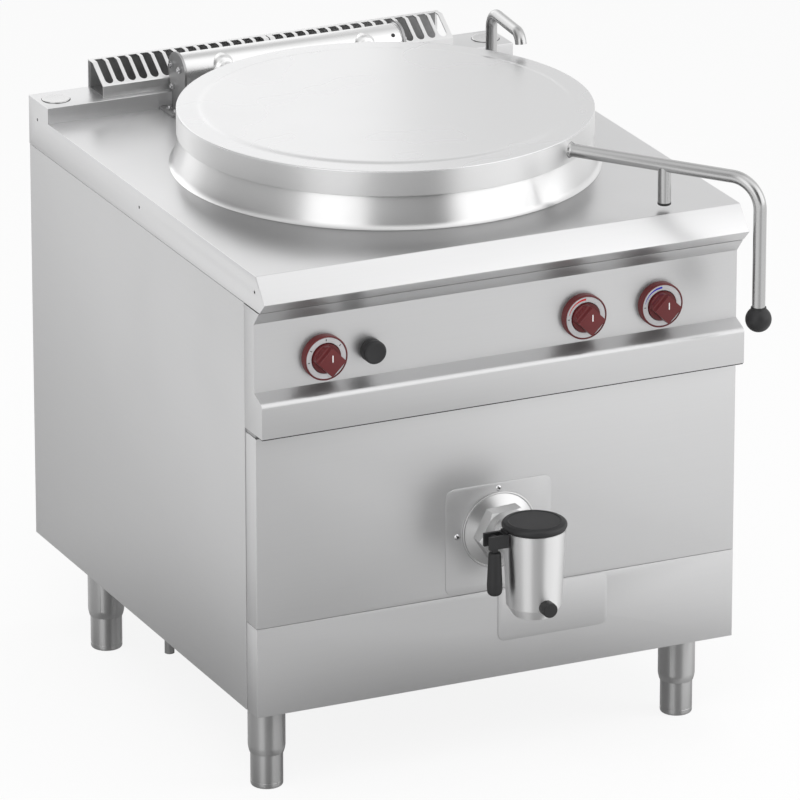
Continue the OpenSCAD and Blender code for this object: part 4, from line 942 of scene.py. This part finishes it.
def hexagon_nut(across: float, high: float, chamfer: float, hole: float = 0.05, turn: float = 0.0) -> Solid:
    """A hexagon with its front corners turned down: its radius at angle a and height z is the smaller of
    across / 2 / cos(a'), with a' measured from the nearest flat's middle, and the chamfer's radius at z.

    Args:
        across: Width across the flats.
        high: Height.
        chamfer: Height of the turned part.
        hole: Radius of the hole through it.
        turn: Angle of its first corner in degrees.

    Returns:
        The solid, closed.
    """
    corner_r, turned_off = 0.584, 0.064  # the corners' radius and what the chamfer takes, as shares of the width
    a = np.linspace(0, 2 * np.pi, 240, endpoint=False)
    flat = np.mod(a - math.radians(turn), math.pi / 3) - math.pi / 6
    outer = across / 2 / np.cos(flat)
    rise = [(None, high - chamfer * (1 - t)) for t in np.linspace(0, 1, 6)]
    levels = [(hole, 0.0), (None, 0.0)] + rise + [(hole, high)]
    rings = []
    for fixed, z in levels:
        limit = across * (corner_r - turned_off * max(0.0, (z - high + chamfer) / chamfer))
        r = np.full(len(a), fixed) if fixed else np.minimum(outer, limit)
        rings.append(np.column_stack([r * np.cos(a), r * np.sin(a), np.full(len(a), z)]))
    pts = np.stack(rings, axis=1)
    return Solid(pts.reshape(-1, 3), grid_faces(len(a), len(levels), True, True))


@dataclass
class Controls:
    """Knobs with their rings and scales, and the igniter button."""

    finish: Finishes
    gas_x: float = -288.0
    hot_x: float = 140.0
    cold_x: float = 268.0
    igniter_x: float = -212.0
    print_z: tuple[float, float] = (12.0, 12.25)

    def at(self, x: float, angle: float = 0.0) -> Matrix:
        """Carries what is built along +Z onto the front at the controls' height, facing forward."""
        return place(x, AT.face_y, AT.control_z, "-Y", angle)

    def build(self) -> None:
        """Builds each control."""
        f = self.finish
        rings, faces, marks = Solid(), Solid(), Solid()
        edge = (arc(33.2, 11.2, 1.8, 0, 90, 6), arc(33.2, 12.2, 0.8, 90, 180, 3))
        rim = chain((24, 0), (35, 0), *edge, (32.4, 11.6), (24, 11.6))
        face = soften(np.array([(24.2, 11.5), (32.3, 11.5), (32.3, 12.1), (24.2, 12.1)]), {1: 0.2, 2: 0.3}, 3)
        for x in (self.gas_x, self.hot_x, self.cold_x):
            rings += turned(rim, 96).moved(self.at(x))
            faces += turned(face, 96).moved(self.at(x))
        piece("knob_rings", rings, "cabinet", f.red, ("knob_bezels",), 34)
        piece("knob_scales", faces, "cabinet", f.scale)
        for name, x, ink in (("hot", self.hot_x, f.mark_red), ("cold", self.cold_x, f.mark_blue)):
            wedge = self.sector(28.6, 168, 90, 0.5, 3.0).moved(self.at(x))
            piece(name + "_scale_arc", wedge, "cabinet", ink)
        for x, hours in ((self.gas_x, (188, 150, 90, 38)), (self.hot_x, (180,)), (self.cold_x, (180,))):
            for a in hours:
                bar = slab(rounded(3.4, 1.3, 0.6, 3), *self.print_z)
                bar.points[:, 0] += 28.4
                marks += bar.moved(self.at(x, a))
        piece("scale_marks", marks, "cabinet", f.mark_black)
        for body, x in (("gas_control", self.gas_x), ("hot_control", self.hot_x), ("cold_control", self.cold_x)):
            node = body.replace("control", "knob")
            eased(node, body, f.red, 0.0006, 0.002)
            pointer = slab(rounded(1.7, 11.0, 0.8, 4), 35.9, 36.2)
            pointer.points[:, 1] += 6.5
            piece(node + "_pointer", pointer.moved(self.at(x)), body, f.mark_white)
        self.igniter()

    def sector(self, r: float, a0: float, a1: float, w0: float, w1: float) -> Solid:
        """A curved wedge: its edges run at r - w / 2 and r + w / 2, with w growing evenly from w0 to w1.

        Args:
            r: Middle radius.
            a0: First angle in degrees.
            a1: Last angle in degrees.
            w0: Width at the first angle.
            w1: Width at the last angle.

        Returns:
            The thin solid on the scale's face.
        """
        a = np.radians(np.linspace(a0, a1, 25))
        w = np.linspace(w0, w1, 25) / 2
        edge = [np.column_stack([(r + s * w) * np.cos(a), (r + s * w) * np.sin(a)]) for s in (1, -1)]
        return slab(chain(edge[0], edge[1][::-1]), *self.print_z)

    def igniter(self) -> None:
        """The push button: a cap with a rounded front edge, a dished face and a grip groove round its side."""
        side = [(14.3, 0), (18, 0), (18, 5.0), (17.4, 5.6), (17.4, 6.4), (18, 7.0), (18, 17.5)]
        front = [(14, 17.5), (8, 16.9), (0, 16.8), (0, 14), (14.3, 14)]
        outline = soften(np.array(side + front), {6: 3.0, 7: 1.0}, 6)
        cap = turned(np.vstack([outline[-2:], outline[:-2]])[::-1], 64)
        at = place(self.igniter_x, AT.face_y - 5.5, AT.control_z, "-Y")
        piece("igniter_cap", cap.moved(at), "igniter", self.finish.black, ("igniter_button",), 34)


@dataclass
class DrainTap:
    """The tap on the front."""

    finish: Finishes
    plate: float = 1.2
    flange_z: float = 12.0

    def build(self) -> None:
        """Builds flange and nut, and dresses the body, cap and lever."""
        f = self.finish
        eased("tap_cover_plate", "cabinet", f.front, 0.00045, 0.002)
        flange = np.array([(23.1, 0), (61, 0), (61, 3.5), (60.2, 4), (59, 4), (57.8, 2.6), (41.5, 12), (23.1, 12)])
        flange = soften(flange, {1: 0.4, 2: 0.5, 5: 0.5, 6: 1.0}, 3)
        disc = turned(flange, 128).moved(place(0, AT.panel_y - self.plate, AT.drain_z, "-Y"))
        piece("flange_turned", disc, "cabinet", f.turned, ("tap_flange",), 34)
        nut = hexagon_nut(83, 24, 4.5, 25.1, 3) + hexagon_nut(61.4, 28, 1.0, 25.1, 3)
        nut = nut.moved(place(0, AT.panel_y - self.plate - self.flange_z, AT.drain_z, "-Y"))
        piece("union_nut", nut, "cabinet", f.turned, ("tap_nut",), 20)
        dress(f.cup, "tap_body")
        dress(f.black, "tap_boss", "tap_cap", "tap_bracket", "tap_lever", "tap_pin")


@dataclass
class Spout:
    """The fill spout."""

    finish: Finishes

    def build(self) -> None:
        """Dresses the spout, and puts a turned collar ring on its base."""
        f = self.finish
        dress(f.satin, "spout", "spout_base")
        ring = chain(arc(9.9, 1.4, 1.4, -90, 90, 8), (9.2, 2.8), (9.2, 0))
        piece("spout_ring", turned(ring, 48).moved(place(312, 340.75, 866)), "cabinet", f.satin)


@dataclass
class Feet:
    """The four screw feet and their sleeves."""

    finish: Finishes
    half_x: float = 347.0
    front_y: float = -256.25
    back_y: float = 363.75

    def build(self) -> None:
        """Turns each sleeve and foot, with a soft shoulder, a fine groove and a rolled lower edge."""
        f = self.finish
        groove = [(28.7, 142), (28.2, 142.6), (28.2, 143.4), (28.7, 144)]
        wall = [(25.3, 57), (26.3, 55), (27.7, 60), (28.7, 65), *groove, (28.7, 147), (25.3, 147)]
        sleeve = soften(np.array(wall), {1: 0.5, 2: 2.0, 3: 2.5}, 4)
        ring = ((25, 9), (24.7, 9.4), (24.7, 10.2), (25, 10.6))
        pad = chain((0, 0), arc(21, 4, 4, -90, 0, 8), *ring, (25, 121), (0, 121))
        sleeves = Solid()
        for end, y in (("front", self.front_y), ("back", self.back_y)):
            for hand, x in (("left", -self.half_x), ("right", self.half_x)):
                name = end + "_" + hand
                sleeves += turned(sleeve, 96).moved(place(x, y, 0))
                foot = turned(pad, 96).moved(place(x, y, 0))
                piece("foot_pad_" + name, foot, name + "_foot", f.leg, ("foot_" + name,), 34)
        piece("leg_sleeves", sleeves, "cabinet", f.leg, ("foot_sleeves",), 34)


@dataclass
class Studio:
    """A white studio: floor, world, lamps and the camera at the photograph's place."""

    camera_at: Point = (-5.0332, -10.80015, 4.8424)
    azimuth: float = 24.965
    elevation: float = 20.105
    lens: float = 370.9
    plain: float = 0.5
    floor_seen: float = 0.88
    gain: float = 1.6
    ceiling: tuple[float, float] = (0.5, 0.8)
    floor_half: float = 30.0
    # Painted shadow on the floor as metal sees it: where it starts and ends, in metres from the middle, and its
    # darkest share.
    painted_floor_shadow: tuple[float, float, float] = (0.45, 0.95, 0.4)
    flag_away: float = 2.0
    flag_grey: float = 0.76
    bands: Curve = (
        (-180, 0.3), (179, 0.3), (-166, 0.5), (-154, 1.4), (-132, 1.4), (-119, 0.25), (-104, 0.15),
        (-84, 0.1), (-71, 1.4), (-20, 1.6), (10, 0.8), (50, 1.0), (76, 1.08), (92, 1.5), (112, 1.2),
        (134, 0.4), (150, 0.25),
    )
    high: Curve = (
        (-180, 0.8), (180, 0.8), (-90, 1.0), (-48, 1.2), (0, 0.9), (45, 0.6), (85, 0.6), (130, 0.8),
    )
    # Painted light levels that metal sees on the floor, over x in metres; the first two stops are the ends.
    ground: Curve = (
        (-1.6, 0.9), (1.4, 0.86), (-1.27, 0.85), (-0.98, 0.7), (-0.63, 0.6), (-0.17, 0.5), (0.19, 0.58),
        (0.5, 0.7), (0.8, 0.84),
    )

    def build(self) -> None:
        """Builds all of it."""
        self.camera()
        self.floor()
        self.flag()
        self.world()
        self.lamp("key", (-2.2, -2.6, 3.4), (0, 0, 0.6), 2.6, 70)
        self.lamp("fill", (3.2, -2.0, 2.0), (0, 0, 0.6), 2.2, 45)
        self.lamp("top", (0.4, 0.6, 3.6), (0, 0, 0.8), 2.4, 30)
        bpy.context.scene.view_settings.view_transform = "Standard"

    def camera(self) -> None:
        """Places the camera: forward, right and up worked out from azimuth and elevation."""
        a, e = math.radians(self.azimuth), math.radians(self.elevation)
        forward = Vector((math.sin(a) * math.cos(e), math.cos(a) * math.cos(e), -math.sin(e)))
        right = Vector((math.cos(a), -math.sin(a), 0))
        up = right.cross(forward)
        data = bpy.data.cameras.new("camera")
        data.lens = self.lens
        data.sensor_width = 36
        data.clip_end = 60
        cam = bpy.data.objects.new("camera", data)
        cam.matrix_world = Matrix.Translation(self.camera_at) @ Matrix((right, up, -forward)).transposed().to_4x4()
        bpy.context.scene.collection.objects.link(cam)
        bpy.context.scene.camera = cam

    def floor(self) -> None:
        """A pale floor that stays white to the camera and keeps the part's shadow.

        Metal sees it glow at a painted light level that follows x, times a painted shadow that lifts with the
        distance from the part.
        """
        h = self.floor_half
        obj, tree = self.card("floor", [(-h, -h, 0), (h, -h, 0), (h, h, 0), (-h, h, 0)], "floor_white")
        cloth = tree.nodes["Principled BSDF"]
        feed(tree, cloth, {"Base Color": (1, 1, 1, 1), "Roughness": 0.9, "Specular IOR Level": 0.0})
        at = add(tree, "TexCoord").outputs["Object"]
        across = add(tree, "SeparateXYZ", {0: at}).outputs["X"]
        tone = self.curve(tree, across, self.ground, self.ground[0][0], self.ground[1][0])
        # Painted shadow: what metal sees of the floor darkens towards the part.
        away = add(tree, "VectorMath", {0: at}, operation="LENGTH").outputs["Value"]
        start, end, least = self.painted_floor_shadow
        near = {"From Min": start, "From Max": end, "To Min": least, "To Max": 1.0, "Value": away}
        share = add(tree, "MapRange", near).outputs["Result"]
        shaded = add(tree, "VectorMath", {0: tone, "Scale": share}, operation="SCALE").outputs["Vector"]
        path = add(tree, "LightPath").outputs
        glow = add(tree, "Emission", {"Color": self.mixed(tree, path["Is Glossy Ray"], 1.0, shaded)})
        seen = {0: path["Is Camera Ray"], 1: self.floor_seen, 2: path["Is Glossy Ray"]}
        part = add(tree, "Math", seen, operation="MULTIPLY_ADD").outputs[0]
        mix = add(tree, "MixShader", {0: part, 1: cloth.outputs[0], 2: glow.outputs[0]})
        feed(tree, tree.nodes["Material Output"], {"Surface": mix.outputs[0]})

    def flag(self) -> None:
        """A grey card behind the part, which only metal sees: it shades the lid's top towards the right."""
        across, up = np.array([0.906, -0.4226, 0.0]), np.array([-0.145, -0.31, 0.94])
        middle = np.array([0.0, 0.064, 0.94]) + self.flag_away * np.array([0.397, 0.852, 0.342])
        corners = [middle + i * across + j * up for i, j in ((0.02, -0.6), (1.3, -0.6), (1.3, 0.55), (0.02, 0.55))]
        obj, tree = self.card("flag", [tuple(c) for c in corners], "flag_grey")
        grey = self.flag_grey
        glow = add(tree, "Emission", {"Color": (grey, grey, grey, 1)})
        feed(tree, tree.nodes["Material Output"], {"Surface": glow.outputs[0]})
        obj.visible_camera = obj.visible_diffuse = obj.visible_shadow = obj.visible_transmission = False

    def card(self, name: str, corners: list[Point], finish: str) -> tuple[bpy.types.Object, Tree]:
        """A flat card with a material of its own.

        Args:
            name: The card's name.
            corners: Its four corners.
            finish: The material's name.

        Returns:
            The card and its material's node tree.
        """
        mesh = bpy.data.meshes.new(name)
        mesh.from_pydata(corners, [], [(0, 1, 2, 3)])
        obj = bpy.data.objects.new(name, mesh)
        bpy.context.scene.collection.objects.link(obj)
        mat = bpy.data.materials.new(finish)
        mat.use_nodes = True
        mesh.materials.append(mat)
        return obj, mat.node_tree

    def curve(self, tree: Tree, value: Socket, stops: Curve, low: float, high: float) -> Socket:
        """A grey level that follows a curve over a value, with the levels eased between its stops.

        Args:
            tree: The node tree.
            value: What the curve runs over.
            stops: Places and levels; the first two are the two ends.
            low: Value at the curve's start.
            high: Value at its end.

        Returns:
            The level's socket.
        """
        spread = add(tree, "MapRange", {"From Min": low, "From Max": high, "Value": value})
        ramp = add(tree, "ValToRGB", {"Fac": spread.outputs["Result"]})
        ramp.color_ramp.interpolation = "EASE"
        first, last = min(p for p, _ in stops), max(p for p, _ in stops)
        elements = ramp.color_ramp.elements
        for k, (at, level) in enumerate(stops):
            position = (at - first) / (last - first)
            stop = elements[k] if k < 2 else elements.new(position)
            stop.position = position
            stop.color = (level / self.gain, level / self.gain, level / self.gain, 1)
        sockets = {"Scale": self.gain, 0: ramp.outputs["Color"]}
        return add(tree, "VectorMath", sockets, operation="SCALE").outputs["Vector"]

    def world(self) -> None:
        """White where the camera looks, a plain grey light, and bands of bright wall and dark gap in the metal.

        The bands' level is a curve over azimuth = atan2(y, x), which gives way to the ceiling's as z rises.
        """
        world = bpy.data.worlds.new("studio")
        bpy.context.scene.world = world
        world.use_nodes = True
        tree = world.node_tree
        way = add(tree, "SeparateXYZ", {0: add(tree, "TexCoord").outputs["Generated"]}).outputs
        azimuth = add(tree, "Math", {0: way["Y"], 1: way["X"]}, operation="ARCTAN2").outputs[0]
        bands = self.curve(tree, azimuth, self.bands, -math.pi, math.pi)
        high = self.curve(tree, azimuth, self.high, -math.pi, math.pi)
        rise = add(tree, "MapRange", {"From Min": self.ceiling[0], "From Max": self.ceiling[1], "Value": way["Z"]})
        room = self.mixed(tree, rise.outputs["Result"], bands, high)
        path = add(tree, "LightPath").outputs
        lit = self.mixed(tree, path["Is Glossy Ray"], self.plain, room)
        seen = self.mixed(tree, path["Is Camera Ray"], lit, 1.0)
        feed(tree, tree.nodes["Background"], {"Color": seen})

    def mixed(self, tree: Tree, factor: Socket, a: Socket | float, b: Socket | float) -> Socket:
        """Mixes two colours: (1 - factor) a + factor b.

        Args:
            tree: The node tree.
            factor: What mixes them.
            a: First colour's socket, or a grey level.
            b: Second colour's socket, or a grey level.

        Returns:
            The mixed colour's socket.
        """
        a, b = ((c, c, c, 1) if isinstance(c, float) else c for c in (a, b))
        return add(tree, "Mix", {"A": a, "B": b, "Factor": factor}, data_type="RGBA").outputs["Result"]

    def lamp(self, name: str, at: Point, to: Point, size: float, power: float) -> None:
        """A square soft lamp that looks at a point.

        Args:
            name: The lamp's name.
            at: Its place.
            to: The point that it looks at.
            size: Length of its side.
            power: Its power in watts.
        """
        data = bpy.data.lights.new(name, "AREA")
        data.size = size
        data.energy = power
        obj = bpy.data.objects.new(name, data)
        obj.location = at
        obj.rotation_euler = (Vector(to) - Vector(at)).to_track_quat("-Z", "Y").to_euler()
        obj.visible_glossy = False
        bpy.context.scene.collection.objects.link(obj)


def main() -> None:
    """Builds the studio and every sub-assembly."""
    logging.basicConfig(level=logging.INFO, format="%(message)s")
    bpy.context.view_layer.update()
    finish = Finishes()
    Studio().build()
    assemblies = (Cabinet, PanAndLid, Hinge, Controls, DrainTap, Spout, Feet)
    for part in (assembly(finish) for assembly in assemblies):
        log.info("building %s", type(part).__name__)
        part.build()


if __name__ == "__main__":
    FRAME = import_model()
    main()
